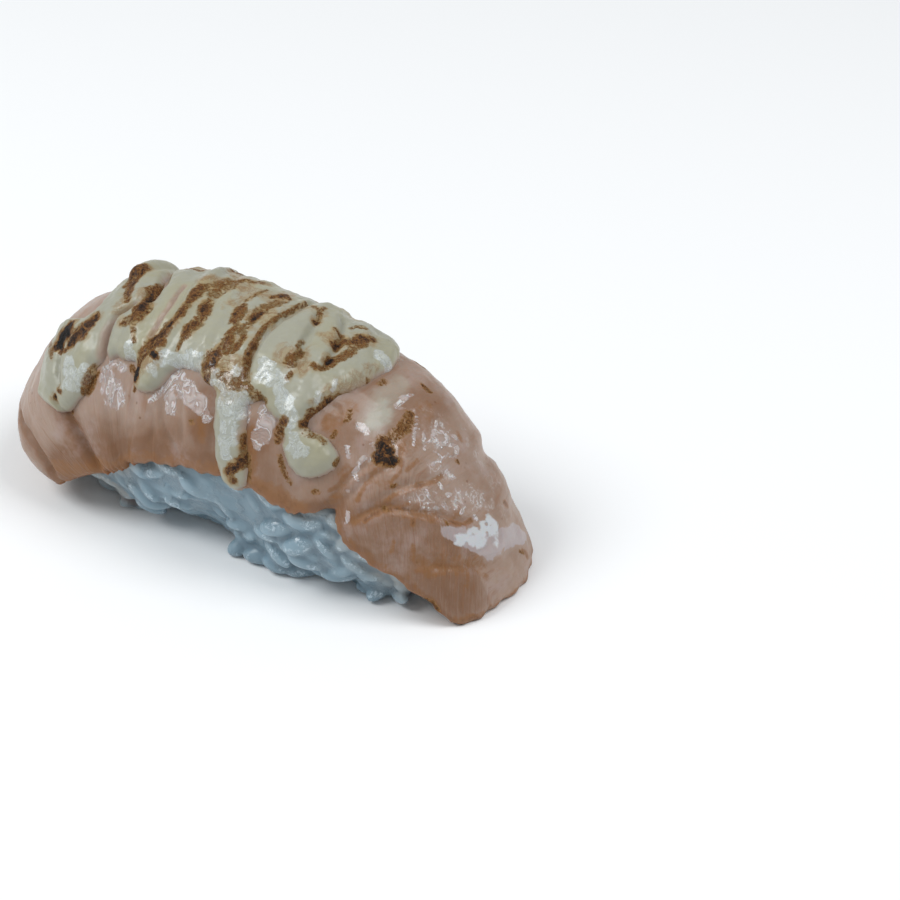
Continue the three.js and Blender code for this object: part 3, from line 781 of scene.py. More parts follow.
# Lightly browned marks round and between the charred ones, and painted shade along some creases and under the
# curled lower edge.
SALMON_BROWNS_AND_SHADE = (
    (((29, -86, 2.0), (37, -83, 1.6), (46, -78, 1.4), (54, -73, 1.4), (60, -71, 1.6)), 0.55),
    (((61, -70, 1.6), (70, -70, 2.0), (78, -69, 1.6)), 0.6),
    (((87, -64, 0.8), (94, -68, 1.0), (102, -63, 1.0), (108, -56, 0.9)), 0.4),
    (((100, -44, 0.8), (102.8, -32, 1.2), (105, -12, 1.0)), 0.45),
    (((88.8, -56, 0.5), (90.5, -40, 0.7), (92.1, -34, 0.7), (96.3, -18, 0.8), (97.5, -10, 0.5)), 0.55),
    (((65.6, -50, 0.7), (66.3, -60, 0.9), (66.6, -67, 0.9)), 0.6),
    (((77, -14, 1.0), (76.4, -22, 1.4), (76, -29, 1.0)), 0.45),
    (((82, -40, 0.8), (83.5, -50, 0.7), (83, -58, 0.6)), 0.3),
    (((15, -80, 1.0), (20, -86, 1.6), (28, -88, 2.0)), 0.5),
    (((111.6, 44, 0.7), (112.6, 20, 0.8), (112.4, -10, 0.8), (112.4, -30, 0.8), (111.8, -50, 0.7)), 0.75),
    (((56.4, -44, 0.5), (58, -52, 0.5), (58.6, -60, 0.5)), 0.4),
    (((84, 8, 2.0), (86, -2, 1.4), (85, -32, 1.6)), 0.28),
    (((85.3, -11.6, 0.14), (87.8, -21.2, 0.14), (88.2, -29.1, 0.14)), 0.6),
    (((85.4, -30.1, 0.14), (86.1, -42.6, 0.15), (86.7, -47.3, 0.14)), 0.6),
    (((82.8, -38, 0.14), (82.5, -45.1, 0.15), (82.5, -49.8, 0.15), (81.8, -53.3, 0.14)), 0.6),
    (((92.1, -3, 0.14), (92, -9.8, 0.21), (91, -19.4, 0.21), (90, -29.4, 0.18), (89.9, -35.8, 0.14)), 0.7),
    (((85.4, -7.3, 0.11), (85.8, -13.4, 0.11), (87.1, -19.8, 0.11)), 0.5),
    (((86, -34.4, 0.42), (88.1, -31.9, 0.56), (89.7, -26.2, 0.42)), 0.3),
    (((88.3, -10.5, 0.17), (88.5, -17.7, 0.17)), 0.5),
    (((88.9, 16.9, 0.14), (90.2, 15.9, 0.14)), 0.5),
    (((90.2, -51.5, 0.14), (90.2, -46.9, 0.23), (90.9, -40.1, 0.2), (91.8, -35.5, 0.18),
      (92.8, -30.5, 0.18), (93.9, -30.5, 0.2), (95, -33.7, 0.14)), 0.85),
    (((94.8, -21.9, 0.17), (95.3, -24.1, 0.2), (96.2, -24.1, 0.14)), 0.8),
    (((96.2, -18.7, 0.17), (97.8, -14.4, 0.2), (99.1, -9.5, 0.17), (99.4, -3.4, 0.14)), 0.8),
    (((96.9, -5.2, 0.15), (97.8, -7.7, 0.15)), 0.7),
    (((97.7, -40.8, 0.11), (99.4, -45.1, 0.11)), 0.5),
    (((95.6, -46.9, 0.11), (97, -52.6, 0.11)), 0.5),
    (((101.6, -48, 0.28), (102, -39.1, 0.42), (103.3, -28.4, 0.42), (104, -16.6, 0.28),
      (104.3, -9.5, 0.14)), 0.55),
    (((102.9, -44.8, 0.35), (103.7, -29.8, 0.42)), 0.4),
    (((104.5, -20.9, 0.11), (106.8, -27.6, 0.11)), 0.5),
    (((105.6, -16.2, 0.28), (107.3, -12.7, 0.28)), 0.35),
    (((101.2, 24.4, 0.2), (101.9, 26.2, 0.2)), 0.95),
    (((108.7, 24.1, 0.28), (109.7, 27.3, 0.34)), 0.8),
    (((90.7, -40.8, 0.23), (91, -39.1, 0.23)), 0.9),
)
# Wet patches that shine, and that carry a painted sheen and painted glints in their colour.
SALMON_WETS = (
    (((38.9, -45.1, 0.8), (40.2, -51.5, 1.8), (41.5, -56.2, 1.6)), 1.0),
    (((40.1, -40.5, 0.6), (42.3, -42.6, 0.8)), 0.7),
    (((51.5, -40.5, 0.8), (51.6, -46.9, 1.1), (52.9, -54, 0.8)), 0.9),
    (((52.9, -40.5, 1.1), (54.8, -44.8, 1.7), (57.4, -48, 1.3), (58.6, -50.8, 0.8)), 1.0),
    (((49.5, -53, 0.4), (50.7, -49, 0.6)), 0.8),
    (((66.3, -40.5, 0.9), (67.3, -43.7, 1.5), (66.9, -51.2, 1.5)), 1.0),
    (((64.2, -41.6, 0.5), (64.5, -46.6, 0.5)), 0.7),
    (((44, 50, 0.8), (47, 53, 1.2), (50.5, 51, 0.5)), 0.42),
    (((54, 54, 0.5), (57, 51.5, 0.9)), 0.42),
    (((68, 50, 0.5), (71, 53, 1.1), (75, 54, 0.5)), 0.42),
    (((79, 51, 0.7), (81, 54.5, 0.4)), 0.42),
    (((92.5, -0.5, 0.37), (93.2, -0.2, 0.37)), 1),
    (((92.4, -16.6, 0.23), (93.1, -17.3, 0.25)), 1),
    (((92.7, -8, 0.2), (93.5, -8.7, 0.23)), 1),
    (((94.6, -7.7, 0.28), (94.8, -5.9, 0.25)), 1),
    (((95.3, -12.7, 0.31), (96, -11.9, 0.28)), 1),
    (((97.4, -3, 0.28), (97.7, -6.6, 0.28)), 1),
    (((94.9, -17.7, 0.23), (95.3, -16.2, 0.23)), 1),
    (((95.7, -4.1, 0.23), (96.2, -6.2, 0.23)), 1),
    (((99.2, -0.5, 0.31), (99.9, -0.2, 0.34)), 0.8),
    (((86.3, 0.2, 0.2), (87.9, -3.7, 0.2)), 1),
    (((86.1, 9.5, 0.14), (87.5, 1.2, 0.17), (87.4, -0.2, 0.14)), 1),
    (((87.4, 8, 0.2), (88.3, 9.8, 0.2), (89, 7, 0.2), (88.5, 2, 0.2)), 1),
    (((89.2, 6.2, 0.25), (90.4, 11.2, 0.28), (91.4, 7, 0.23)), 1),
    (((89, 13.4, 0.2), (89.6, 14.1, 0.2)), 1),
    (((89, -0.2, 0.15), (90, 0.5, 0.15)), 1),
    (((90.2, -5.2, 0.15), (90.4, 2.3, 0.15), (91.4, 7, 0.17)), 1),
    (((83.9, 2.7, 0.13), (85.1, -1.2, 0.13), (86.5, -7, 0.13)), 1),
    (((79.6, -19.8, 0.48), (80.7, -18.7, 0.56)), 1),
    (((81.2, 0.2, 0.37), (80.9, 4.8, 0.42), (81.1, 9.1, 0.34)), 0.8),
    (((81.5, -0.2, 0.28), (81.9, 1.2, 0.28)), 0.8),
    (((83.2, -35.5, 0.18), (83.5, -38.7, 0.25), (84.4, -40.5, 0.14)), 1),
    (((84.2, -47.6, 0.15), (84.6, -47.6, 0.15)), 1),
    (((87.2, -55.1, 0.25), (87.8, -57.3, 0.31), (88.3, -59.7, 0.17)), 1),
    (((82.9, -29.8, 0.25), (83, -33.4, 0.25)), 0.9),
    (((80, -31.2, 0.17), (81.1, -34.8, 0.17)), 1),
    (((82.5, -21.6, 0.25), (83.5, -22.3, 0.25)), 1),
    (((84, -13.4, 0.14), (85.3, -14.4, 0.17), (86.3, -18.7, 0.14)), 1),
    (((83.9, -23, 0.18), (83.7, -27.3, 0.21), (83.7, -29.4, 0.17)), 0.9),
)
# Where fat has bubbled up; there the colour carries a painted sheen, painted highlights on the rims and
# painted glints.
SALMON_BUBBLES = (
    (((91.7, -27.5, 0.7), (94.6, -14.7, 1.6), (96.6, -0.2, 1.7), (98.8, 9.2, 1.2)), 0.75),
    (((85, 4.8, 1.4), (88.3, 5.2, 2.0), (91.4, -3, 1.4)), 1.0),
    (((103.8, 22.7, 0.8), (96.3, 22.2, 0.9), (90, 20, 0.9)), 0.22),
)
# Cooked pale.
PALE_PATCHES = (
    (((79.7, -2.3, 0.8), (80.5, -7.7, 1.6), (80.5, -12.7, 1.3)), 1.0),
    (((80.4, -14, 1.7), (79.8, -5, 2.0), (79, 2.7, 1.4)), 0.5),
    (((79.3, 5.5, 1.3), (78.9, 11.6, 0.9)), 0.5),
)
# Whitish puddles of fat.
FOAM_PATCHES = (
    (((98.1, -21.2, 0.4), (99.6, -17.3, 1.0), (101.5, -10.9, 1.2), (103.4, -3.7, 1.3), (104.5, 6.6, 1.4),
      (105.9, 23.7, 1.2), (107.9, 33, 0.6)), 1.0),
    (((104, -0.9, 0.8), (105.4, -2.3, 0.6)), 1.0),
)
# White froth in them.
FROTH_PATCHES = (
    (((100.5, -18, 0.45), (100.9, -13, 0.5), (101.7, -9.5, 0.65), (102.7, -3.4, 0.7)), 1.0),
    (((100.6, -8.7, 0.32), (100.8, -4.8, 0.32), (101.5, -3.7, 0.3)), 1.0),
    (((102.2, -2.3, 0.56), (101.3, 1.2, 0.56), (101.2, 5.5, 0.5), (102.2, 7.7, 0.48),
      (102.6, 2.7, 0.42)), 1.0),
    (((103.4, 5.5, 0.3), (104.3, 2, 0.3)), 0.8),
)
# Where the flesh is less cooked and more orange, and painted shade in the creases, under the curled lobe and
# along the low edges.
SALMON_ORANGE_AND_SHADE_STROKES = (
    (((90, -56, 3.0), (94, -46, 4.0), (98, -32, 4.0), (101, -18, 2.5)), 0.8),
    (((12, -84, 1.5), (22, -83, 2.5), (28, -84, 3.0), (34, -82, 2.5)), 1.3),
    (((34, -74, 2.0), (44, -72, 2.0), (54, -66, 2.0)), 0.7),
    (((58, -46, 1.2), (59, -60, 1.4)), 0.8),
    (((66, -50, 1.2), (67.5, -60, 1.6), (70, -66, 1.6)), 0.8),
    (((13.2, -46, 0.5), (14.4, -60, 0.7), (14.6, -70, 0.8), (12, -80, 0.9)), 0.7),
    (((27, -58, 0.5), (28.5, -74, 0.8), (30, -84, 1.2)), 1.0),
    (((96, -54, 4.0), (101, -44, 5.0), (107, -36, 4.0)), 0.75),
    (((94, -20, 2.5), (97, -34, 3.0)), 0.4),
    (((78, -26, 2.0), (82, -6, 3.0), (84, 14, 3.0)), 0.6),
    (((69, -58, 2.0), (74, -64, 2.5), (80, -62, 2.0)), 0.4),
    (((84, 12, 2.5), (92, 14, 3.0), (98, 22, 3.0)), 0.3),
    (((76, -26, 1.5), (77, -18, 1.5), (78, -4, 1.0)), 0.4),
    (((82, -52, 2.0), (86, -36, 2.0), (90, -20, 2.0)), 0.3),
)
SLICE_WIDTH = 52.0  # the slice's width laid flat
SLICE_CUTS_ALONG = 306
SLICE_CUTS_ACROSS = 140
# How far round the front long edge of the slice reaches: (s, degrees from the ridge).
SLICE_FRONT = (
    (0, 57), (3, 70), (7, 83), (12, 88), (24, 90), (28, 89), (32, 86.5), (36, 84), (40, 82.5), (44, 79.5),
    (47.7, 78), (52, 75), (57.8, 72.5),
    (61, 72), (66.5, 72), (70, 73), (75, 73), (78.6, 71), (82, 66), (84.7, 61.5), (87, 64.5), (90.7, 69),
    (95, 68.5), (99, 68), (102.4, 63.5), (105.3, 62.5), (107.7, 57), (109.5, 56), (111.8, 52.5),
)


def slab_mesh(cuts_along, cuts_across):
    """A flat slab of two grids joined at their edges, one unit wide, with its lower face at -1."""
    shape = bmesh.new()
    bmesh.ops.create_grid(shape, x_segments=cuts_along, y_segments=cuts_across, size=0.5)
    add_under_layer(shape, -1.0)
    return finished_mesh(shape, "salmon_slice")


STROKE_REACH = 4.0  # how far from a stroke or an outline its distance is measured


def painted(points, strokes, seed, wobble=0.3, soft=0.1):
    """The strongest of several soft strokes at each point of the drape."""
    value = np.zeros(len(points))
    ragged = rough(points, 1.5, seed)
    for path, strength in strokes:
        gap, half = wide_stroke_distance(points, path, STROKE_REACH)
        gap = gap + wobble * np.minimum(half, 1.0) * ragged
        value = np.maximum(value, strength * (1 - soft_step(gap, 0.4 * half, 1.3 * half + soft)))
    return value


def slice_places(p, q):
    """The places on the drape of points of the slab, from their shares along and across it."""
    s = -0.3 + p * (RIDGE_LENGTH + 0.9)
    front = -through(SLICE_FRONT, s) - 0.5 * np.sin(s * 1.1) - 0.35 * np.sin(s * 2.7 + 1)
    front = np.maximum(front, -88.5)
    back = through(BACK_EDGE, s) + 2.5 + 0.8 * np.sin(s * 0.9 + 2) + 0.4 * np.sin(s * 2.3)
    a = front + (back - front) * q
    ends = (0.35 * np.sin(a * 0.13) + 0.2 * np.sin(a * 0.41 + 1)) * soft_step(np.abs(p - 0.5), 0.42, 0.5)
    return s + ends, a


def paint_salmon(mesh, s, a, outer, from_end, from_front, from_back):
    """Writes where the salmon is browned, charred, orange, wet, frothy or pale, and where painted shade
    darkens its creases and edges.
    """
    base = drape_point(s, a)
    from_side = np.minimum(from_front, from_back)
    rim = 1 - soft_step(np.minimum(from_side, 2.2 * from_end), 0.15, 0.9)
    warm = painted(base, SALMON_ORANGE_AND_SHADE_STROKES, 26, 0.6, 2.5)
    # Painted shade: darker and more orange towards both long edges, where the slice hangs low.
    warm = np.maximum(warm, 1.3 * (1 - soft_step(from_front + 1.2 * rough(base, 6.0, 27), 0.2, 6.0)))
    paint(mesh, "warm", np.maximum(warm, 0.6 * (1 - soft_step(from_back, 0.5, 8))))
    fibrous = 0.25 + 0.75 * soft_step(s, 76, 92) * soft_step(-a, -10, 20)
    paint(mesh, "fibrous", fibrous * (0.3 + 0.7 * soft_step(s, 18, 32)))
    paint(mesh, "charred", painted(base, SALMON_CHARS, 21))
    # The rim band: browned edges that also carry painted shade.
    paint(mesh, "browned", np.maximum(painted(base, SALMON_BROWNS_AND_SHADE, 22, 0.6, 0.4), 0.7 * rim))
    paint(mesh, "wet", painted(base, SALMON_WETS, 23, 0.6, 0.12) * outer)
    paint(mesh, "bubbly", painted(base, SALMON_BUBBLES, 28, 0.6, 1.0) * outer)
    paint(mesh, "foam", painted(base, FOAM_PATCHES, 24, 0.7, 0.5) * outer)
    paint(mesh, "froth", painted(base, FROTH_PATCHES, 29, 0.4, 0.6) * outer)
    paint(mesh, "pale", painted(base, PALE_PATCHES, 25, 0.5, 0.5) * outer)


def build_salmon(colour, thickest, thinnest):
    """Builds the slice from its colour and its thickness in the middle and at the edges."""
    mesh = slab_mesh(SLICE_CUTS_ALONG, SLICE_CUTS_ACROSS)
    unit_points = mesh_points(mesh)
    p, q = unit_points[:, 0] + 0.5, unit_points[:, 1] + 0.5
    outer = unit_points[:, 2] > -0.5
    s, a = slice_places(p, q)
    from_end = np.minimum(p, 1 - p) * RIDGE_LENGTH
    from_side = np.minimum(q, 1 - q) * SLICE_WIDTH
    inward = soft_step(np.minimum(from_end, from_side), 0, SLICE_THINNING)
    thickness = thinnest + (thickest - thinnest) * inward
    edge = np.minimum(np.minimum(from_end, from_side) / 1.1, 1)
    rounding = 0.5 + 0.5 * np.sqrt(1 - (1 - edge) ** 2)
    base = drape_point(s, a)
    normal = drape_normal(s, a)
    relief = slice_relief(s, a, base)
    half = thickness / 2 * rounding
    lift = np.where(outer, relief - thickness / 2 + half, 0.4 * relief - thickness / 2 - half)
    move_points(mesh, base + normal * lift[:, None])
    slant = 1.07 * soft_step(s, 66, 100) * np.clip(a + 15, -60, 0) * LAY_TURN
    lay_uv(mesh, s, a, slant)
    paint_salmon(mesh, s, a, outer, from_end, q * SLICE_WIDTH, (1 - q) * SLICE_WIDTH)
    return settle("salmon", mesh, salmon_finish(colour), "salmon_slice")


# ------------------------------------------------------------------ the mayonnaise

# Squeezed strands and lobes: places with the half width there (mm), and the height (mm).
STRANDS = (
    (((24.7, -26.9, 0.56), (26.4, -41.6, 0.63), (27.4, -51.9, 0.7), (27.9, -58.7, 0.85)), 1.2),
    (((35.9, -30.1, 1.13), (34.9, -38.3, 2.25), (33.6, -46.6, 2.82), (31.5, -53.7, 2.39),
      (30, -59, 1.69)), 2.2),
    (((34.6, 8, 0.6), (36.4, -7, 0.7), (37.4, -19.1, 1.13), (37.4, -30.1, 1.13), (37.1, -38, 0.99)), 1.6),
    (((33.6, 30, 1.4), (35.2, 14.1, 1.6), (40.4, -7.3, 1.27), (43.1, -20.9, 1.41), (43.7, -30.1, 1.55),
      (43.5, -35.5, 1.41)), 2.2),
    (((34.2, 30, 1.6), (34.8, 18, 1.6), (36, 6, 1.2)), 3.7),
    (((41.4, 29, 1.1), (44, 2.3, 0.95), (45.6, -8.4, 0.99), (46.1, -20.2, 0.99), (46.3, -28.4, 0.85),
      (46.8, -35.5, 0.7)), 1.7),
    (((46.4, 31, 1.2), (48, 3, 1.13), (49.4, -10.2, 1.13), (49.5, -21.9, 1.13), (49, -32.3, 1.27),
      (48.8, -40.8, 1.41), (49.5, -45.5, 1.13)), 2.5),
    (((48.6, 30, 1.0), (50.2, 1.6, 0.85), (51.1, -10.9, 0.99), (51.1, -22.3, 0.99), (50.9, -31.9, 1.13),
      (51.1, -36.2, 0.85)), 1.8),
    (((51.4, 31, 1.3), (52.3, 9.1, 1.27), (54.2, -5.9, 1.41), (54.7, -18, 1.41), (54.6, -28, 1.41),
      (54.6, -31.6, 0.99)), 2.0),
    (((53.4, 33, 1.2), (53.7, 20.2, 1.27), (57.2, -4.8, 1.55), (57.9, -17.3, 1.55), (58.1, -27.6, 1.55),
      (57.8, -35.1, 1.13)), 2.0),
    (((60, 31, 1.0), (61.5, 11.6, 0.85), (60.6, 2, 0.99), (60.3, -7.3, 0.99), (60.6, -18.4, 0.99),
      (60.8, -28.7, 1.13), (61.8, -36.6, 1.13)), 1.6),
    (((63, 30, 1.4), (64.2, 7, 1.69), (65, -6.6, 2.54), (65.5, -18.7, 2.82), (66, -26.9, 2.25)), 2.4),
    (((66.6, -27.6, 1.97), (69.1, -31.9, 1.83), (70.8, -34.8, 1.27)), 1.9),
    (((64.6, 32, 1.2), (65.2, 21.2, 1.41), (68.2, 0.5, 1.83), (69.9, -9.8, 1.97), (70.9, -18.4, 1.97),
      (71.3, -27.3, 1.83), (71, -33.7, 1.27)), 2.3),
    (((68.1, 30, 1.2), (70, 20, 1.27), (72.3, 10.5, 1.55), (73.5, -2, 1.69), (73.4, -12.3, 1.69),
      (73, -21.9, 0.99)), 2.0),
    (((72.9, 20, 1.0), (73.9, 13, 1.0), (75.1, 10, 0.85)), 1.5),
    (((61.7, -38.3, 1.83), (62.5, -44.4, 2.0), (63.2, -51.5, 2.0), (63.9, -60.1, 2.0), (64.6, -66.5, 1.9),
      (64.8, -68.3, 1.69)), 1.5),
    (((72, -36.9, 0.99), (73.7, -40.1, 1.83), (75.5, -42.3, 3.4), (76.5, -41.6, 3.4)), 2.5),
)
# Grooves between strands: path, half width (mm), depth (mm).
GROOVES = (
    (((40.8, -14.1), (39, -19), (38.6, -25), (38.6, -32), (38.9, -40.8)), 0.5, 1.5),
    (((41.7, -4.8), (41.5, -10.9), (41, -15.2)), 0.4, 0.7),
    (((45.9, 0.2), (46.8, -10.5), (47, -20.9), (47, -27.6)), 0.22, 0.5),
    (((61.6, 20), (61.9, 8.7), (61.7, 0.2), (61.6, -7.7), (61.8, -15.9), (62.1, -23.7),
      (62.9, -30.9)), 0.4, 0.7),
    (((37.2, 33), (38.5, 20), (40, 9), (42.2, -1.2), (43, -8.7)), 0.7, 1.6),
    (((26, -16), (24.6, -30), (24, -48)), 1.6, 0.55),
    (((77.5, -34), (79.8, -38), (80.6, -42), (79.8, -48)), 2.0, 0.5),
    (((65, 9.1), (66.3, -0.9), (67.8, -11.9), (69.2, -16.9)), 0.6, 0.5),
    (((29.9, -34.4), (29.3, -42.3), (29.6, -51.2)), 0.5, 0.5),
    (((67.5, 15.5), (69.5, 4.5), (70.6, -2.7), (71, -11.2)), 0.5, 0.6),
)
# The outline of all the mayonnaise on the slice, a closed line of places.
MARGIN = (
    (22.3, -52.6), (23.9, -56.9), (25.7, -63), (26.9, -65.1), (29.7, -63.3), (33.4, -58), (35.2, -53.7),
    (36.8, -47.6), (37.1, -43.7), (38.2, -41.9), (39.4, -41.6), (40.2, -39.8), (41.2, -39.4),
    (42.6, -40.1), (45, -39.1), (45.7, -42.3), (45.5, -47.3), (47, -49.8), (48.6, -50.8), (49.8, -48.7),
    (51.1, -44.1), (51.6, -40.1), (52.6, -36.2), (54, -35.5), (54.8, -35), (55.5, -35.5), (56.7, -38),
    (58.2, -38.7), (58.9, -40.8), (59.3, -43.7), (60.3, -55.1), (61.1, -65.8), (62.8, -71.5),
    (64.6, -73), (66.2, -69.5), (65.9, -60.8), (64.8, -50.1), (64.1, -40), (65.3, -37.3), (65.9, -35.5),
    (66.7, -38.3), (68, -40.1), (69.2, -40.8), (70.3, -45.8), (70.6, -49.8), (72.6, -55.1), (75, -56),
    (77.6, -54), (79.6, -49), (80.4, -43.5), (80.6, -39.5), (79.6, -36.6), (77.4, -34.2), (75, -35.8),
    (73.2, -36.2), (73.4, -30.1), (74.2, -23.7), (74.8, -14.8), (76.2, -4.1), (76.6, 4.5), (76.8, 12.7),
    (76, 22), (74.6, 30.5), (71.4, 35), (68, 32), (65.4, 37), (61.4, 37.2), (59, 32.5), (56.6, 36.8),
    (52.8, 38), (50.6, 33), (48, 36.6), (44.6, 36), (42.6, 31.5), (40.4, 36.5), (36.6, 37.6), (34, 33),
    (31.9, 24), (32, 12), (32.6, 0), (33.3, -9), (33.1, -13.7), (31.8, -15.9), (28.3, -13.4),
    (26, -12.5), (25.2, -16), (24.6, -22), (23.6, -32), (22.8, -40.5),
)
BLANKET_ROUNDING = 1.3  # width of the round rim of the mayonnaise between the strands
EDGE_ROUNDING = 1.9  # and of the rim of all of it
STRAND_WIDER = 1.3  # the strands' half widths are taken this many times over
STRAND_HEIGHT = 0.8  # and their heights
STRAND_BLEND = 3.6  # the larger, the sharper the valleys between strands
STRAND_STEP = 0.2  # size of one cell of the sheet, mm
STRAND_TURN = 0.34  # millimetres that the sheet takes for one degree
STRAND_AREA = (20.0, 82.0, -78.0, 42.0)  # from s, to s, from a, to a
UNDER = 0.55  # how deep the underside lies in the salmon
DEEP = -9.0  # marks the underside until the sheet is laid on the slice


def inside_margin(s, a):
    """Whether places lie inside the outline of the mayonnaise."""
    found = np.zeros(len(s), bool)
    for (s0, a0), (s1, a1) in zip(MARGIN, MARGIN[1:] + MARGIN[:1]):
        if a0 != a1:
            crossing = (a0 > a) != (a1 > a)
            found ^= crossing & (s < s0 + (a - a0) / (a1 - a0) * (s1 - s0))
    return found


def blanket_height(s, a, base, blanket):
    """Height of the mayonnaise that lies between and under its strands."""
    edge, _ = stroke_distance(base, MARGIN + MARGIN[:1], 0.5, STROKE_REACH)
    edge = np.minimum(edge, STROKE_REACH) * np.where(inside_margin(s, a), 1, -1)
    edge += 0.22 * rough(base, 1.8, 41)
    part = np.clip(edge / BLANKET_ROUNDING, 0, 1)
    return np.where(edge > 0, blanket * np.sqrt(1 - (1 - part) ** 2), 3.0 * edge), edge


def strand_height(s, a, base, blanket):
    """How far the mayonnaise stands over the salmon, below zero outside it."""
    between, edge = blanket_height(s, a, base, blanket)
    total = np.zeros(len(base))
    for path, height in STRANDS:
        near, half = wide_stroke_distance(base, path)
        half = STRAND_WIDER * half
        part = near / half
        top = STRAND_HEIGHT * height * np.sqrt(np.clip(1 - part**2, 0, 1))
        outside = -3.0 * np.clip(near - half, 0, 2)
        total += np.exp(STRAND_BLEND * np.where(part < 1, top, outside))
    total = np.log(np.maximum(total + np.exp(STRAND_BLEND * between), 1e-9)) / STRAND_BLEND
    total = np.where(edge > 0, total, np.minimum(total, between))
    for path, half, depth in GROOVES:
        near, _ = stroke_distance(base, path)
        total -= depth * np.exp(-((near / half) ** 2)) * (total > 0)
    rim = np.clip(edge / EDGE_ROUNDING, 0, 1)
    total = np.where(edge > 0, total * np.sqrt(1 - (1 - rim) ** 2), total)
    return np.maximum(total, -UNDER)


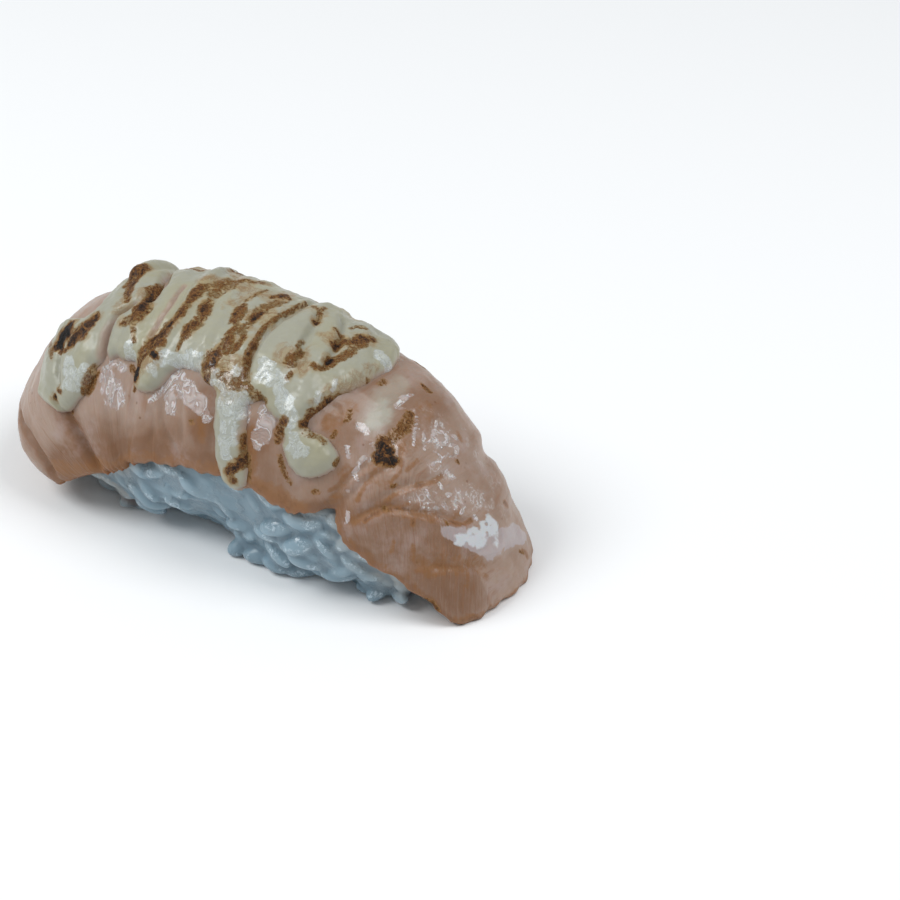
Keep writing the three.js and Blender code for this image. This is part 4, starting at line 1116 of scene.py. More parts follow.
# Torch marks on the mayonnaise.
MAYONNAISE_CHARS = (
    (((30.3, -22.4, 0.8), (29.8, -26.6, 1.3), (29.2, -31.5, 0.9)), 1.75),
    (((35.1, -21.6, 0.9), (34.1, -27, 1.4), (32.3, -33.2, 0.9)), 1.1),
    (((32.2, -32.6, 0.28), (31.3, -36.6, 0.21), (29.4, -36.2, 0.17)), 0.7),
    (((25.5, -23.7, 0.35), (26.9, -32.3, 0.42), (27.9, -38, 0.28)), 0.4),
    (((29.3, -54, 0.18), (30, -55.1, 0.14)), 0.9),
    (((27.9, -56.9, 0.17), (27.9, -57.3, 0.14)), 1.2),
    (((37.1, -44.4, 0.3), (36.7, -48.7, 0.5), (35.7, -52.3, 0.45), (34.4, -56.1, 0.3)), 0.55),
    (((36.7, 8, 0.8), (36.2, 4, 1.0), (37.8, -3, 0.8), (39.5, -11.2, 0.4)), 0.85),
    (((36.9, 6.5, 0.4), (37.2, 4, 0.35)), 1.1),
    (((37.6, -0.5, 0.5), (38, -2.3, 0.35)), 1.0),
    (((40.8, 7.7, 0.35), (41.5, 0.9, 0.56), (41.7, -4.1, 0.7), (43, -12.3, 0.92), (43.4, -18, 0.92),
      (43, -22.3, 0.7), (40.9, -23.7, 0.35)), 0.82),
    (((41.7, -4.5, 0.35), (43.1, -13, 0.49), (43.1, -16.6, 0.42)), 1.15),
    (((43.5, -24.8, 0.35), (44.2, -28.7, 0.17), (44.9, -31.6, 0.14)), 0.5),
    (((48.7, 0.5, 0.56), (49, -3, 0.7), (49.5, -9.8, 0.49), (49.4, -15.2, 0.7), (49.1, -19.8, 0.7),
      (48.8, -25.1, 0.85), (48.3, -29.8, 0.99), (47.6, -33.4, 0.99), (47, -37.6, 0.63),
      (46.9, -41.2, 0.7), (47, -45.5, 0.56)), 0.82),
    (((49.4, -15.2, 0.35), (49.4, -19.4, 0.35), (48.4, -25.5, 0.42), (47.5, -29.4, 0.49)), 1.1),
    (((47, -42.6, 0.42), (46.8, -45.5, 0.48)), 1.7),
    (((48.8, -34.4, 0.35), (49.4, -35.1, 0.31)), 1.4),
    (((50.1, 9.5, 0.56), (49.7, 2.7, 0.99), (49.4, 0.2, 0.85)), 0.42),
    (((50.8, -0.2, 0.85), (51.1, 3, 0.85), (51.9, 7, 0.7)), 0.36),
    (((51.4, -4.8, 0.7), (52.1, -9.5, 0.77), (52.2, -14.4, 0.77), (51.9, -19.4, 0.7),
      (51.8, -22.7, 0.56)), 0.78),
    (((51.6, -6.6, 0.35), (51.8, -9.8, 0.35)), 1.05),
    (((52.1, -15.2, 0.35), (51.9, -20.5, 0.35)), 1.0),
    (((51.8, -24.1, 0.17), (51.8, -27.6, 0.17), (51.8, -29.8, 0.14)), 0.5),
    (((58.2, -18.4, 0.85), (57.9, -22.7, 1.13), (57.5, -26.2, 1.13), (57.8, -29.4, 0.99)), 0.72),
    (((57.6, -25.5, 0.42), (57.8, -29.4, 0.63)), 1.1),
    (((57.2, -33, 0.7), (57.4, -36.6, 0.7), (57.2, -39.1, 0.56)), 0.85),
    (((57.2, -37.3, 0.35), (56.8, -38.3, 0.28)), 1.2),
    (((56, -0.5, 0.42), (56.4, -3, 0.77), (56.7, -6.6, 0.85), (57.2, -9.8, 0.56)), 0.7),
    (((56.2, -5.2, 0.42), (56.2, -5.9, 0.35)), 1.1),
    (((59, -0.2, 0.25), (58.8, -2.3, 0.37), (58.8, -5.5, 0.25)), 1.15),
    (((59.6, 13, 0.21), (58.3, 12.7, 0.37), (57.9, 9.5, 0.23)), 1.0),
    (((59.3, 9.8, 0.7), (58.9, 4.8, 0.85), (58.6, 0.5, 0.85), (58.9, -6.6, 0.56),
      (58.8, -12.7, 0.56)), 0.4),
    (((54.2, 16.9, 0.17), (52.3, 13.4, 0.2), (50.7, 9.1, 0.23), (50.8, 1.2, 0.23)), 0.55),
    (((56.1, 13.7, 0.14), (56, 5.9, 0.14), (55.7, 0.9, 0.17)), 0.4),
    (((59.5, -14.4, 0.28), (59.6, -18.4, 0.37), (59.5, -22.3, 0.2)), 0.62),
    (((57.4, -16.9, 0.28), (57.8, -12.7, 0.28), (58.1, -9.8, 0.21)), 0.6),
    (((61.4, 17.7, 0.12), (61.4, 6.2, 0.12), (61, -0.2, 0.14), (60.8, -5.5, 0.14), (61.1, -11.6, 0.2),
      (61.3, -16.6, 0.34), (61.5, -21.6, 0.38), (62, -26.2, 0.3), (62.4, -30.5, 0.24)), 0.58),
    (((61.3, -15.9, 0.22), (61.4, -20.9, 0.25)), 0.8),
    (((61.4, 16.6, 0.21), (64.2, 11.9, 0.23), (64.3, 16.2, 0.21)), 0.5),
    (((65.3, 5.9, 0.31), (65.5, 5.9, 0.28)), 1.2),
    (((64.3, 12.7, 0.21), (64.9, 10.5, 0.28), (65.3, 7, 0.21)), 0.6),
    (((67.3, -9.5, 0.35), (67, -13, 0.42), (67, -17.3, 0.7), (67.4, -16.6, 0.42)), 0.62),
    (((68.1, -19.4, 0.18), (68, -23, 0.17)), 0.5),
    (((66.4, -4.1, 0.14), (66.4, -8, 0.17), (67, -8.4, 0.14)), 0.4),
    (((72.3, 13.7, 0.56), (71.6, 10.2, 0.77), (71.2, 5.5, 0.56), (70.2, 4.1, 0.63),
      (69.9, 0.5, 0.63)), 0.85),
    (((71.7, 11.6, 0.49), (71.2, 10.9, 0.49)), 1.15),
    (((69.8, 2, 0.37), (70.1, -0.2, 0.31)), 1.05),
    (((72.4, 7.7, 0.42), (72, 3.7, 0.56), (71.9, 0.2, 0.56), (71.6, -2.7, 0.49)), 0.6),
    (((70.9, -5.2, 0.42), (71, -6.2, 0.39)), 1.35),
    (((69.8, -12.7, 0.28), (70.6, -12.7, 0.23), (71.2, -10.5, 0.23), (71.5, -7.7, 0.25),
      (71.7, -2.3, 0.25)), 0.62),
    (((68.2, 6.6, 0.23), (68.8, 7.3, 0.25), (69.6, 6.2, 0.28)), 0.7),
    (((70.3, 17.7, 0.17), (69.2, 16.6, 0.17), (69.1, 13.4, 0.17)), 0.4),
    (((59.5, -31.9, 0.7), (61.3, -34.8, 0.7), (62.4, -34.1, 0.7), (63.5, -33, 0.56),
      (64.6, -35.1, 0.42)), 0.45),
    (((77.5, 3.4, 0.56), (77, 0.2, 0.56), (76.3, -0.9, 0.42)), 0.55),
    (((76.8, -3.7, 0.35), (76.3, -8.7, 0.28), (75.5, -12.7, 0.28), (74.8, -16.9, 0.34)), 0.5),
    (((74.4, -19.4, 0.42), (74.1, -20.9, 0.37)), 1.1),
    (((74.1, -23, 0.28), (73.7, -26.6, 0.37), (73.3, -29.8, 0.51), (73.1, -34.1, 0.42)), 0.8),
    (((73.1, -35.1, 0.34), (72.7, -36.2, 0.28)), 1.0),
    (((70.1, -39.1, 0.42), (69.5, -42.6, 0.56), (69.6, -46.2, 0.65), (69.6, -48.7, 0.42)), 0.8),
    (((65.6, -59.4, 0.42), (65.5, -61.5, 0.63), (64.8, -63.3, 0.7), (64.1, -65.8, 0.49)), 0.95),
    (((65, -52.3, 0.28), (65.2, -55.5, 0.28), (65.5, -58, 0.28)), 0.8),
    (((64.6, -68, 0.37), (65, -68, 0.28)), 0.85),
    (((80.2, -36.2, 0.21), (80.2, -39.1, 0.28), (80.1, -41.6, 0.21)), 0.6),
    (((74, -38, 0.42), (75.4, -36.9, 0.42), (76.8, -36.9, 0.28)), 0.3),
    (((65.6, -35.8, 0.42), (66.3, -35.8, 0.42), (65.2, -34.4, 0.42)), 0.45),
    (((39.4, 19.1, 0.5), (42, 16.6, 0.56), (44.4, 15.2, 0.42)), 0.6),
    (((47.9, 24.1, 0.35), (49.3, 23, 0.35)), 0.8),
    (((50.7, 6.6, 0.28), (51.9, 11.6, 0.31), (53.9, 18.4, 0.34)), 0.5),
    (((58.3, 11.2, 0.42), (58.5, 14.8, 0.48)), 1.0),
)
# Where the mayonnaise is only lightly browned, in fine wisps.
MAYONNAISE_TOASTS = (
    (((39.5, 17.7, 1.0), (41.9, 18.4, 1.3), (43.8, 21.6, 1.0)), 0.9),
    (((47.9, 5.9, 1.4), (50.7, 7.3, 1.7), (53.9, 7.7, 1.5)), 0.75),
    (((48.1, 20.9, 0.8), (52.1, 14.8, 1.0), (54.3, 18.4, 0.8)), 0.9),
    (((54.7, -0.2, 1.5), (54.8, 7, 1.5), (57.6, 8.7, 1.4)), 0.75),
    (((58.6, -4.5, 1.3), (58.9, 4.8, 1.3), (58.5, 18.7, 1.1)), 0.8),
    (((60.3, -7.3, 1.3), (60.8, 2.3, 1.4), (62.9, 9.8, 1.4), (64.8, 10.9, 1.0)), 0.6),
    (((65.9, -14.1, 1.3), (67, -11.2, 1.5), (68.4, -14.8, 1.1)), 0.75),
    (((68.7, 0.2, 1.4), (70.8, 2.7, 1.7), (71.3, 14.4, 1.3)), 0.6),
    (((57.4, -34.4, 1.6), (59.2, -29.8, 1.9), (62, -30.5, 1.6)), 0.95),
    (((58.3, -39.4, 1.1), (61.7, -38.3, 1.3), (64.3, -36.2, 1.1)), 0.8),
    (((46.9, -43.3, 1.1), (48.6, -38, 1.3), (49.1, -33.4, 1.1)), 0.7),
    (((38.8, -15.5, 1.3), (39.8, -9.1, 1.4), (40.9, -4.8, 1.1)), 0.6),
    (((73.3, -26.2, 1.1), (74.2, -18.4, 1.1), (74.9, -7.7, 1.3), (75.6, 1.6, 1.1)), 0.7),
    (((41, 28, 1.2), (50, 30, 1.4), (60, 29, 1.2), (69, 27, 1.2)), 0.6),
)
# Where the mayonnaise is so thin that the salmon tints it.
MAYONNAISE_THINS = (
    (((41.2, -13, 0.3), (39.2, -19, 0.45), (38.7, -25, 0.5), (38.5, -32, 0.55), (38.9, -42, 0.8)), 1.0),
    (((42.6, -4, 0.25), (42, -10.9, 0.32), (41, -16, 0.25)), 0.9),
    (((45.9, 0.2, 0.22), (46.8, -10.5, 0.3), (47, -20.9, 0.3), (47, -27.6, 0.25)), 1.0),
    (((32.8, 20, 0.6), (33.2, 8, 0.6), (33.4, -4, 0.6)), 0.6),
    (((64.8, -45, 0.7), (65.2, -53, 0.8)), 0.9),
    (((65.6, -38.5, 0.8), (67.5, -42, 0.8)), 0.8),
    (((77.8, 10, 0.7), (77, 0, 0.7), (75.4, -14, 0.6), (74.6, -24, 0.6), (73.6, -35, 0.6)), 0.7),
)
# Its shining patches, which also carry a painted sheen and painted glints in their colour.
MAYONNAISE_WETS = (
    (((32.5, -43, 0.7), (32.9, -47.3, 1.13), (35.2, -48.7, 0.85), (35.6, -44.8, 0.42)), 1.0),
    (((31.4, -52.6, 0.42), (33.6, -53, 0.42)), 0.6),
    (((44.4, -33.7, 0.56), (44.4, -36.9, 0.85)), 1.0),
    (((50.5, -34.8, 0.85), (51.9, -33, 0.85), (54.6, -31.6, 0.99), (55.5, -32.6, 0.7)), 1.0),
    (((49.4, -40.1, 0.42), (50, -41.9, 0.28)), 0.7),
    (((57.4, -32.3, 0.7), (58.5, -34.4, 0.99), (59.6, -35.1, 0.85), (61.4, -33.7, 1.13),
      (61.8, -29.1, 0.85)), 1.0),
    (((64.1, -21.6, 0.7), (65.5, -25.5, 1.13), (66.6, -25.9, 0.85), (67.5, -25.5, 0.56)), 1.0),
    (((68.2, -29.8, 0.7), (69.4, -32.6, 0.85), (70.8, -35.5, 0.7), (71.3, -38.7, 0.42)), 1.0),
    (((74.4, 9.8, 0.56), (75.6, 8.4, 0.7), (76.5, 10.5, 0.42)), 1.0),
    (((73.3, -12.7, 0.21), (73.7, -15.9, 0.21)), 0.6),
    (((72.7, -21.9, 0.21), (73.1, -25.5, 0.21)), 0.6),
    (((62.4, -40.5, 2.2), (62.6, -44.3, 1.9), (62.7, -50.7, 1.4), (62.9, -56, 1.1),
      (63.3, -60.3, 0.8)), 1.0),
    (((72.2, -42.6, 0.56), (72.9, -45.8, 0.85), (74.5, -45.5, 0.7)), 1.0),
)


def build_mayonnaise(colour, blanket):
    """Builds the mayonnaise from its colour and its thickness between the strands."""
    from_s, to_s, from_a, to_a = STRAND_AREA
    shape = bmesh.new()
    rows = int((to_s - from_s) / STRAND_STEP)
    columns = int((to_a - from_a) * STRAND_TURN / STRAND_STEP)
    bmesh.ops.create_grid(shape, x_segments=rows, y_segments=columns, size=0.5)
    flat = np.array([v.co for v in shape.verts])
    s = from_s + (to_s - from_s) * (flat[:, 0] + 0.5)
    a = from_a + (to_a - from_a) * (flat[:, 1] + 0.5)
    base = drape_point(s, a)
    height = strand_height(s, a, base, blanket)
    for vertex, place_s, place_a, rise in zip(shape.verts, s, a, height):
        vertex.co = (place_s, place_a, rise)
    lowest = 0.001 - UNDER
    bare = [v for v in shape.verts if max(v.co.z, *(e.other_vert(v).co.z for e in v.link_edges)) < lowest]
    bmesh.ops.delete(shape, geom=bare, context="VERTS")
    add_under_layer(shape, DEEP)
    mesh = finished_mesh(shape, "mayonnaise")
    s, a, height = mesh_points(mesh).T
    top = height > DEEP / 2
    base = drape_point(s, a)
    normal = drape_normal(s, a)
    charred = painted(base, MAYONNAISE_CHARS, 31, 0.6, 0.3)
    wet = painted(base, MAYONNAISE_WETS, 32, 0.8, 0.5)
    above = soft_step(height, 0.0, 0.8)
    rise = height + above * (0.12 * rough(base, 4.0, 33) + 0.06 * rough(base, 1.3, 34))
    rise += above * charred * (0.12 * rough(base, 0.6, 35) - 0.05)
    rise = np.where(top, rise, -UNDER - 0.05)
    rise += slice_relief(s, a, base)
    move_points(mesh, base + normal * rise[:, None])
    paint(mesh, "charred", charred)
    round_chars = 0.8 * painted(base, MAYONNAISE_CHARS, 36, 0.6, 1.3)
    paint(mesh, "toasted", np.maximum(round_chars, painted(base, MAYONNAISE_TOASTS, 38, 0.6, 0.8)))
    paint(mesh, "wet", wet)
    thin = np.maximum(1 - soft_step(height, 0.1, 0.9), painted(base, MAYONNAISE_THINS, 37, 0.3, 0.35))
    paint(mesh, "thin", np.where(top, thin, 1))
    lay_uv(mesh, s, a)
    return settle("mayonnaise_lines", mesh, mayonnaise_finish(colour), "mayonnaise")


# ------------------------------------------------------------------ the rice

# Levels of the pressed rice: height, left end, right end, half width.
RICE_LEVELS = (
    (0.0, -25.0, 27.2, 8.4), (1.3, -27.6, 28.8, 9.8), (3.8, -30.2, 29.6, 12.0), (7.0, -31.8, 29.0, 13.0),
    (11.0, -31.8, 28.4, 13.2), (15.0, -29.2, 26.0, 12.6), (19.0, -25.2, 22.2, 11.0),
    (23.0, -19.4, 16.2, 8.0),
    (26.0, -11.4, 8.2, 4.2),
)
# The front foot of the rice: along, across, and how far it leans out for each millimetre up.
RICE_FOOT = (
    (-31, -2.0, 1.2), (-28, -6.2, 1.2), (-25.2, -8.0, 1.2), (-22.8, -8.7, 1.2), (-19.7, -8.0, 1.2),
    (-17.4, -8.8, 1.2), (-15.1, -8.2, 1.2), (-13.7, -6.7, 1.2), (-12.5, -5.3, 1.2), (-10.1, -5.4, 1.2),
    (-6, -5.2, 1.2), (-3.9, -5.4, 1.1), (-2.1, -6.8, 0.9), (0.4, -8.3, 0.6), (2.3, -9.3, 0.35),
    (5, -9.9, 0.22),
    (7, -10.5, 0.18), (9.6, -10.9, 0.18), (12.1, -9.4, 0.4), (14, -8.4, 0.7), (16.9, -6.9, 1.0),
    (19.2, -6.4, 1.1), (20.7, -7.3, 1.0), (22.6, -8.4, 0.8), (24.1, -8.6, 0.7), (26, -8.0, 0.7),
    (27.5, -7.0, 0.8), (28.6, -4.6, 1.0), (29.5, -2.0, 1.2),
)
FOOT_ASIDE = 0.65  # how far the front leans along the rice for each millimetre that it leans out
RICE_BOXY = 2.8
CORE_FOOT = 0.6  # height of the core's underside
CORE_ASIDE = 1.2  # how far left the core's middle lies
CORE_FRONT = 0.45  # how far the core is grown towards the front
CORE_BACK = -0.6  # and towards the back, where it stays deeper under the grains
ROWS = (1.1, 19, 1.95)  # rows of grains round the sides: lowest, highest, step
ROW_SPACING = 4.0  # from one grain of a row to the next
UNDER_GRAINS = 80
BACK_GRAINS = 46  # more grains over the middle of the back, where the rows are thin
GRAIN_SIZES = (0.82, 1.12)
GRAIN_DEPTHS = (-0.75, 0.3)  # how far out of the rice's side the middles of the grains lie
GRAIN_SEED = 20261
RICE_VOXEL = 0.3
RICE_EVENING = 70  # rounds of smoothing that leave only the broad shape of the rice
# Grains laid one by one on the front foot: along, across, height, turn, tilt (degrees), size.
LOOSE_GRAINS = (
    (24.6, -7.3, 1.8, 60, 20, 0.95),
    (27.0, -6.6, 1.5, -50, 10, 0.95),
    (3.0, -9.1, 1.6, 50, 20, 1.0),
    (6.6, -9.9, 1.4, 14, 5, 1.05),
    (9.7, -10.2, 1.4, 24, -10, 0.95),
    (13.6, -8.0, 2.3, 10, 5, 1.1),
    (17.6, -7.4, 2.6, -8, 8, 1.1),
    (-16.9, -8.6, 1.5, 75, 5, 0.85),
    (-21, -7.4, 1.6, 12, 0, 1.0),
    (-14.6, -8.4, 5.2, 4, -6, 1.05),
    (4.0, -9.0, 3.8, -50, 30, 1.1),
    (0.6, -8.4, 5.6, 40, -30, 1.1),
)
TOASTED_GRAIN = (-16.9, -9.2, 1.9)  # the one brownish grain


def rice_ends(height):
    """The rice's left end, right end and half width at a height."""
    return through(RICE_LEVELS, height)[0]


def oval_point(turn, height, grow=0.0):
    """A point on the side of the pressed rice, grown by a few millimetres."""
    left, right, half_width = rice_ends(height)
    c, w = math.cos(turn), math.sin(turn)
    power = 2 / RICE_BOXY
    x = (left + right) / 2 + ((right - left) / 2 + grow) * math.copysign(abs(c) ** power, c)
    y = (half_width + grow) * math.copysign(abs(w) ** power, w)
    if w < 0:
        low = 1 - float(soft_step(height, 0.6, 5.0))
        foot, lean = through(RICE_FOOT, x)[0]
        y *= 1 + max(0.0, -foot / half_width - 1) * low
        leant = lean * max(0.0, height - 0.8)
        y = max(y, through(RICE_FOOT, x - FOOT_ASIDE * leant)[0][0] - leant - grow)
    return Vector((x + SHIFT[0], y + SHIFT[1], height))


def add_core(shape):
    """Adds the pressed core under the grains, from a ball."""
    made = bmesh.ops.create_uvsphere(shape, u_segments=64, v_segments=36, radius=1.0)
    top = RICE_LEVELS[-1][0] + 0.5
    for vertex in made["verts"]:
        x, y, z = vertex.co
        height = CORE_FOOT + (top - CORE_FOOT) * 0.5 * (1 + math.sin(math.pi / 2 * z))
        inward = min(1.0, math.hypot(x, y) * (1.9 if z < 0 else 1.3))
        rim = oval_point(math.atan2(y, x), height, CORE_FRONT if y < 0 else CORE_BACK)
        middle = Vector((SHIFT[0] - CORE_ASIDE, SHIFT[1], height))
        vertex.co = middle.lerp(rim, inward)


def add_grain(shape, grain, place, lengthwise, out, size, draw):
    """Adds one plump grain, slightly bent, its length along a direction."""
    length, width, thickness = grain
    made = bmesh.ops.create_icosphere(shape, subdivisions=3, radius=0.5)
    widthwise = out.cross(lengthwise).normalized()
    bend = draw.uniform(-0.5, 0.5)
    blunt = draw.uniform(0.75, 1.0)
    for vertex in made["verts"]:
        x, y, z = vertex.co * 2
        narrow = (1 - 0.16 * x) * (1 - 0.1 * x * x)
        along = 0.5 * length * size * math.copysign(abs(x) ** blunt, x)
        across = 0.5 * width * size * y * narrow + bend * (x * x - 0.4)
        high = 0.5 * thickness * size * z * narrow
        vertex.co = place + lengthwise * along + widthwise * across + out * high


def add_side_grain(shape, grain, turn, level, draw):
    """Adds one grain on the side of the rice, lying roughly along it."""
    here = oval_point(turn, level)
    along = (oval_point(turn + 0.05, level) - here).normalized()
    up = (oval_point(turn, level + 0.5) - here).normalized()
    out = along.cross(up).normalized()
    lean = draw.gauss(-0.35, 0.55)
    lengthwise = along * math.cos(lean) + up * math.sin(lean) + out * draw.uniform(-0.35, 0.35)
    lengthwise.normalize()
    across = lengthwise.cross(out).normalized()
    size = draw.uniform(*GRAIN_SIZES)
    place = here + out * draw.uniform(*GRAIN_DEPTHS)
    place.z = max(place.z, 0.5 * grain[2] * size)
    add_grain(shape, grain, place, lengthwise, across.cross(lengthwise), size, draw)


def add_grains(shape, grain, draw):
    """Adds grains round the sides, under the rice, over its back and on its front foot."""
    height, highest, step = ROWS
    while height < highest:
        left, right, half_width = rice_ends(height)
        way_round = 5.2 * math.hypot((right - left) / 2, half_width)
        count = round(way_round / ROW_SPACING)
        for i in range(count):
            turn = 2 * math.pi * (i + 0.8 * draw.random()) / count
            level = max(1.0, height + draw.uniform(-0.9, 0.9))
            add_side_grain(shape, grain, turn, level, draw)
        height += step
    for _ in range(UNDER_GRAINS):
        part = math.sqrt(draw.random())
        here = oval_point(draw.uniform(0, 2 * math.pi), 0.5, -1.5)
        here = Vector((SHIFT[0] + 1, SHIFT[1], 0)).lerp(here, part)
        here.z = 1.05
        lean = draw.uniform(0, math.pi)
        lengthwise = Vector((math.cos(lean), math.sin(lean), 0))
        add_grain(shape, grain, here, lengthwise, Vector((0, 0, -1)), draw.uniform(0.86, 1.1), draw)
    for _ in range(BACK_GRAINS):
        turn = math.pi / 2 + draw.uniform(-0.6, 0.6)
        add_side_grain(shape, grain, turn, draw.uniform(1.2, 14.0), draw)
    for x, y, z, turn, tilt, size in LOOSE_GRAINS:
        turn, tilt = math.radians(turn), math.radians(tilt)
        flat = math.cos(tilt)
        lengthwise = Vector((math.cos(turn) * flat, math.sin(turn) * flat, math.sin(tilt)))
        out = lengthwise.cross(Vector((0, 0, 1))).cross(lengthwise).normalized()
        add_grain(shape, grain, Vector((x, y, z)), lengthwise, out, size, draw)


def build_rice(colour, grain, slice_edge):
    """Builds the rice from its colour, the size of a grain and the thickness of the slice's edges."""
    shape = bmesh.new()
    add_core(shape)
    add_grains(shape, grain, random.Random(GRAIN_SEED))
    bmesh.ops.recalc_face_normals(shape, faces=shape.faces[:])
    mesh = finished_mesh(shape, "rice")
    mesh = applied(mesh, "REMESH", mode="VOXEL", voxel_size=RICE_VOXEL)
    mesh = applied(mesh, "SMOOTH", factor=0.5, iterations=2)
    points = mesh_points(mesh)
    even = mesh_points(applied(mesh.copy(), "SMOOTH", factor=0.5, iterations=RICE_EVENING))
    proud = dots(points - even, mesh_normals(mesh))
    s, a, height = DrapePlaces().find(points)
    reach = np.where(a < 0, through(FRONT_EDGE, s), through(BACK_EDGE, s))
    under = 1 - soft_step(np.abs(a), reach - 3.0, reach + 1.0)
    too_high = np.maximum(height + slice_edge * 0.75, 0) * under
    points = points - unit(drape_normal(s, a)) * too_high[:, None]
    points[:, 2] = np.maximum(points[:, 2], 0.0)
    move_points(mesh, points)
    toasted = 1 - soft_step(np.linalg.norm(points - np.array(TOASTED_GRAIN), axis=1), 0.8, 2.2)
    paint(mesh, "toasted", toasted)
    # How far each place stands out of the smoothed rice; it steers the painted shade and light.
    paint(mesh, "proud", soft_step(proud, -0.22, 0.3))
    # How far below the salmon's edge each place lies; near it the rice takes the lighter, partly painted
    # tone.
    edge_z = drape_point(s, np.sign(a) * reach)[:, 2]
    below_edge = edge_z - points[:, 2] + 0.6 * rough(points, 3.0, 51)
    paint(mesh, "cool", soft_step(below_edge, -0.5, 3.5))
    # How low each place lies, for the painted shade near the floor.
    paint(mesh, "deep", 1 - soft_step(points[:, 2], 0.5, 4.5))
    return settle("rice", mesh, rice_finish(colour), "rice_block")


# ------------------------------------------------------------------ the stage

VIEW_AZIMUTH = math.radians(33)
VIEW_ELEVATION = math.radians(35)
VIEW_DISTANCE = 0.44
VIEW_ASIDE = 0.02507  # the camera's aim, right of and above the drape's middle
VIEW_ABOVE = 0.00873
LENS = 124.96  # focal length for a picture 36 mm wide
PICTURE_WIDTH = 36.0
FLOOR_HALF = 2.0
FLOOR_ROUGHNESS = 0.9
ROOM_COLOUR = (0.95, 0.98, 1.0)
# The lights: place, aim, size and colour.
RIGHT_SOFTBOX = ((0.28, 0.08, 0.50), (0, 0, 0.02), 0.32, (0.97, 0.98, 1.0))
LEFT_SOFTBOX = ((-0.29, -0.24, 0.46), (0, 0, 0.015), 0.30, (0.95, 0.98, 1.0))


def view_axes():
    """The camera's backward, right and up directions."""
    back = Vector((
        math.sin(VIEW_AZIMUTH) * math.cos(VIEW_ELEVATION),
        -math.cos(VIEW_AZIMUTH) * math.cos(VIEW_ELEVATION),
        math.sin(VIEW_ELEVATION),
    ))
    right = Vector((math.cos(VIEW_AZIMUTH), math.sin(VIEW_AZIMUTH), 0))
    return back, right, back.cross(right)


def build_camera():
    """Adds the camera."""
    back, right, up = view_axes()
    camera = bpy.data.objects.new("camera", bpy.data.cameras.new("camera"))
    camera.data.lens = LENS
    camera.data.sensor_width = PICTURE_WIDTH
    camera.data.clip_start = 0.01
    aim = Vector(SHIFT) * MM + right * VIEW_ASIDE + up * VIEW_ABOVE
    turned = Matrix((right, up, back)).transposed().to_4x4()
    camera.matrix_world = Matrix.Translation(aim + back * VIEW_DISTANCE) @ turned
    bpy.context.scene.collection.objects.link(camera)
    bpy.context.scene.camera = camera


def add_light(name, place, aim, size, colour, power):
    """Adds a round area light that looks at its aim."""
    lamp = bpy.data.lights.new(name, "AREA")
    lamp.shape = "DISK"
    lamp.size = size
    lamp.energy = power
    lamp.color = colour
    light = bpy.data.objects.new(name, lamp)
    light.location = place
    light.rotation_euler = (Vector(place) - Vector(aim)).to_track_quat("Z", "Y").to_euler()
    bpy.context.scene.collection.objects.link(light)


def build_stage(settings):
    """Adds the floor, the two lights and the even light of the room."""
    scene = bpy.context.scene
    shape = bmesh.new()
    bmesh.ops.create_grid(shape, x_segments=1, y_segments=1, size=FLOOR_HALF)
    mesh = finished_mesh(shape, "floor")
    floor_finish = Finish("pale_floor", Roughness=FLOOR_ROUGHNESS, Specular_IOR_Level=0.1)
    floor_finish.shader.inputs["Base Color"].default_value = (*settings.floor_colour, 1.0)
    mesh.materials.append(floor_finish.material)
    floor = bpy.data.objects.new("floor", mesh)
    scene.collection.objects.link(floor)
    add_light("right_softbox", *RIGHT_SOFTBOX, settings.key_power)
    add_light("left_softbox", *LEFT_SOFTBOX, settings.fill_power)
    world = bpy.data.worlds.new("studio")
    world.use_nodes = True
    background = world.node_tree.nodes["Background"]
    background.inputs["Color"].default_value = (*ROOM_COLOUR, 1.0)
    background.inputs["Strength"].default_value = settings.world_strength
    scene.world = world
    scene.view_settings.view_transform = "Standard"


# ------------------------------------------------------------------ the add-on

class NigiriColours(bpy.types.PropertyGroup):
    """Colours of the nigiri's finishes."""

    salmon: bpy.props.FloatVectorProperty(
        name="Salmon", description="Colour of the torched flesh", subtype="COLOR",
        default=(0.366, 0.257, 0.197), min=0.0, max=1.0)
    mayonnaise: bpy.props.FloatVectorProperty(
        name="Mayonnaise", description="Colour of the mayonnaise where it isn't browned", subtype="COLOR",
        default=(0.347, 0.339, 0.268), min=0.0, max=1.0)
    rice: bpy.props.FloatVectorProperty(
        name="Rice", description="Colour of the cooked grains", subtype="COLOR",
        default=(0.215, 0.31, 0.37), min=0.0, max=1.0)


class NigiriSizes(bpy.types.PropertyGroup):
    """Sizes of the nigiri's pieces."""

    grain_length: bpy.props.FloatProperty(
        name="Grain length", description="Length of an average grain of rice",
        unit="LENGTH", precision=4, default=0.0059, min=0.002, max=0.012)
    grain_width: bpy.props.FloatProperty(
        name="Grain width", description="Width of an average grain of rice",
        unit="LENGTH", precision=4, default=0.0027, min=0.001, max=0.006)
    grain_thickness: bpy.props.FloatProperty(
        name="Grain thickness", description="Thickness of an average grain of rice",
        unit="LENGTH", precision=4, default=0.0026, min=0.001, max=0.006)
    slice_middle: bpy.props.FloatProperty(
        name="Slice thickness", description="Thickness of the salmon away from its edges",
        unit="LENGTH", precision=4, default=0.0046, min=0.001, max=0.008)
    slice_edge: bpy.props.FloatProperty(
        name="Slice edge", description="Thickness of the salmon at its edges",
        unit="LENGTH", precision=4, default=0.0027, min=0.0005, max=0.008)
    blanket: bpy.props.FloatProperty(
        name="Mayonnaise thickness", description="Thickness of the mayonnaise between its strands",
        unit="LENGTH", precision=4, default=0.0014, min=0.0002, max=0.004)


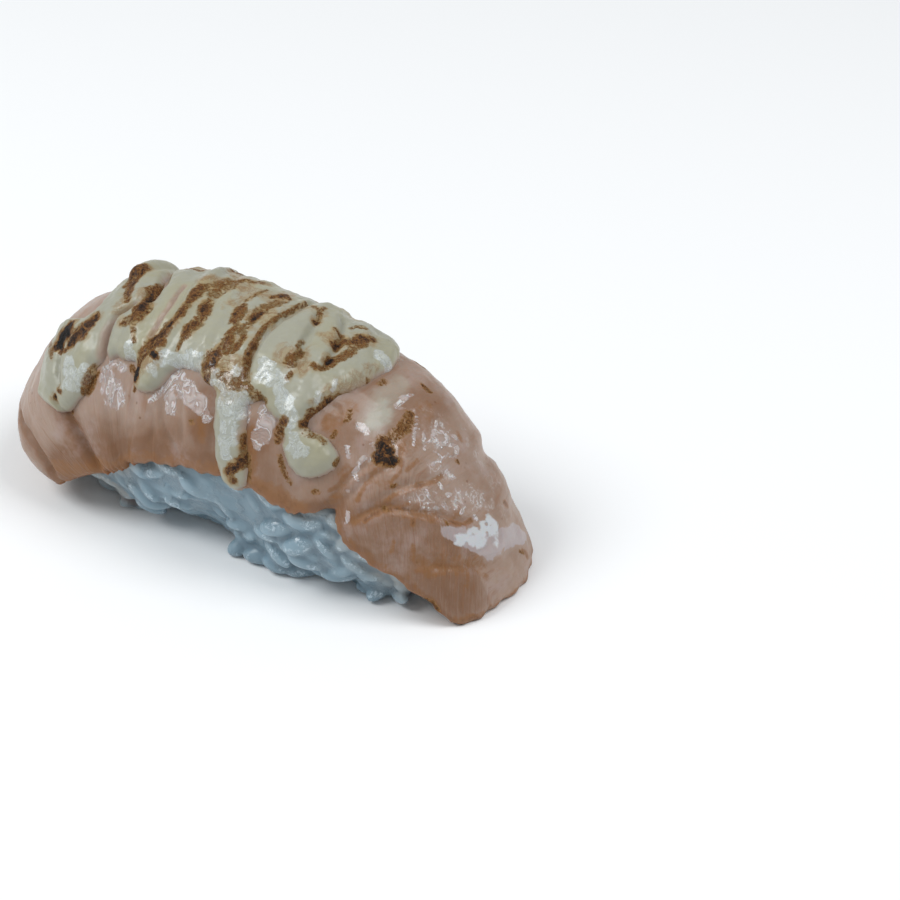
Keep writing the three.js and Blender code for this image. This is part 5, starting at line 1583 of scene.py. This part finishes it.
class NigiriStage(bpy.types.PropertyGroup):
    """Floor and light around the nigiri."""

    floor_colour: bpy.props.FloatVectorProperty(
        name="Floor", description="Colour of the plain floor", subtype="COLOR",
        default=(0.93, 0.93, 0.93), min=0.0, max=1.0)
    key_power: bpy.props.FloatProperty(
        name="Right light", description="Power of the large light above on the right",
        unit="POWER", default=1.4, min=0.0)
    fill_power: bpy.props.FloatProperty(
        name="Left light", description="Power of the soft light above on the left",
        unit="POWER", default=1.85, min=0.0)
    world_strength: bpy.props.FloatProperty(
        name="Room light", description="Strength of the even light all round", default=0.42, min=0.0)


def in_mm(*lengths):
    """Lengths from the panel in millimetres, to the nearest thousandth."""
    return [round(length / MM, 3) for length in lengths]


class NIGIRI_OT_rice(bpy.types.Operator):
    """Add the pressed rice with its outer grains"""

    bl_idname = "nigiri.rice"
    bl_label = "Rice"

    def execute(self, context):
        sizes = context.scene.nigiri_sizes
        *grain, slice_edge = in_mm(
            sizes.grain_length, sizes.grain_width, sizes.grain_thickness, sizes.slice_edge)
        build_rice(tuple(context.scene.nigiri_colours.rice), grain, slice_edge)
        return {"FINISHED"}


class NIGIRI_OT_salmon(bpy.types.Operator):
    """Add the draped and torched slice of salmon"""

    bl_idname = "nigiri.salmon"
    bl_label = "Salmon slice"

    def execute(self, context):
        sizes = context.scene.nigiri_sizes
        thickness = in_mm(sizes.slice_middle, sizes.slice_edge)
        build_salmon(tuple(context.scene.nigiri_colours.salmon), *thickness)
        return {"FINISHED"}


class NIGIRI_OT_mayonnaise(bpy.types.Operator):
    """Add the browned lines of mayonnaise"""

    bl_idname = "nigiri.mayonnaise"
    bl_label = "Mayonnaise"

    def execute(self, context):
        thickness = in_mm(context.scene.nigiri_sizes.blanket)
        build_mayonnaise(tuple(context.scene.nigiri_colours.mayonnaise), *thickness)
        return {"FINISHED"}


class NIGIRI_OT_stage(bpy.types.Operator):
    """Add the floor, the lights and the camera"""

    bl_idname = "nigiri.stage"
    bl_label = "Stage"

    def execute(self, context):
        build_stage(context.scene.nigiri_stage)
        build_camera()
        return {"FINISHED"}


class NIGIRI_PT_panel(bpy.types.Panel):
    """Buttons that build the nigiri"""

    bl_label = "Nigiri"
    bl_idname = "NIGIRI_PT_panel"
    bl_space_type = "VIEW_3D"
    bl_region_type = "UI"
    bl_category = "Nigiri"

    def draw(self, context):
        scene = context.scene
        for group in (scene.nigiri_colours, scene.nigiri_sizes, scene.nigiri_stage):
            for name in group.__annotations__:
                self.layout.prop(group, name)
        for operator in PIECE_OPERATORS:
            self.layout.operator(operator.bl_idname)


PIECE_OPERATORS = (NIGIRI_OT_stage, NIGIRI_OT_rice, NIGIRI_OT_salmon, NIGIRI_OT_mayonnaise)
CLASSES = (NigiriColours, NigiriSizes, NigiriStage, *PIECE_OPERATORS, NIGIRI_PT_panel)


def register():
    for cls in CLASSES:
        bpy.utils.register_class(cls)
    bpy.types.Scene.nigiri_colours = bpy.props.PointerProperty(type=NigiriColours)
    bpy.types.Scene.nigiri_sizes = bpy.props.PointerProperty(type=NigiriSizes)
    bpy.types.Scene.nigiri_stage = bpy.props.PointerProperty(type=NigiriStage)


def unregister():
    del bpy.types.Scene.nigiri_stage
    del bpy.types.Scene.nigiri_sizes
    del bpy.types.Scene.nigiri_colours
    for cls in reversed(CLASSES):
        bpy.utils.unregister_class(cls)


def main():
    register()
    bpy.ops.nigiri.stage()
    bpy.ops.nigiri.rice()
    bpy.ops.nigiri.salmon()
    bpy.ops.nigiri.mayonnaise()


if __name__ == "__main__":
    main()
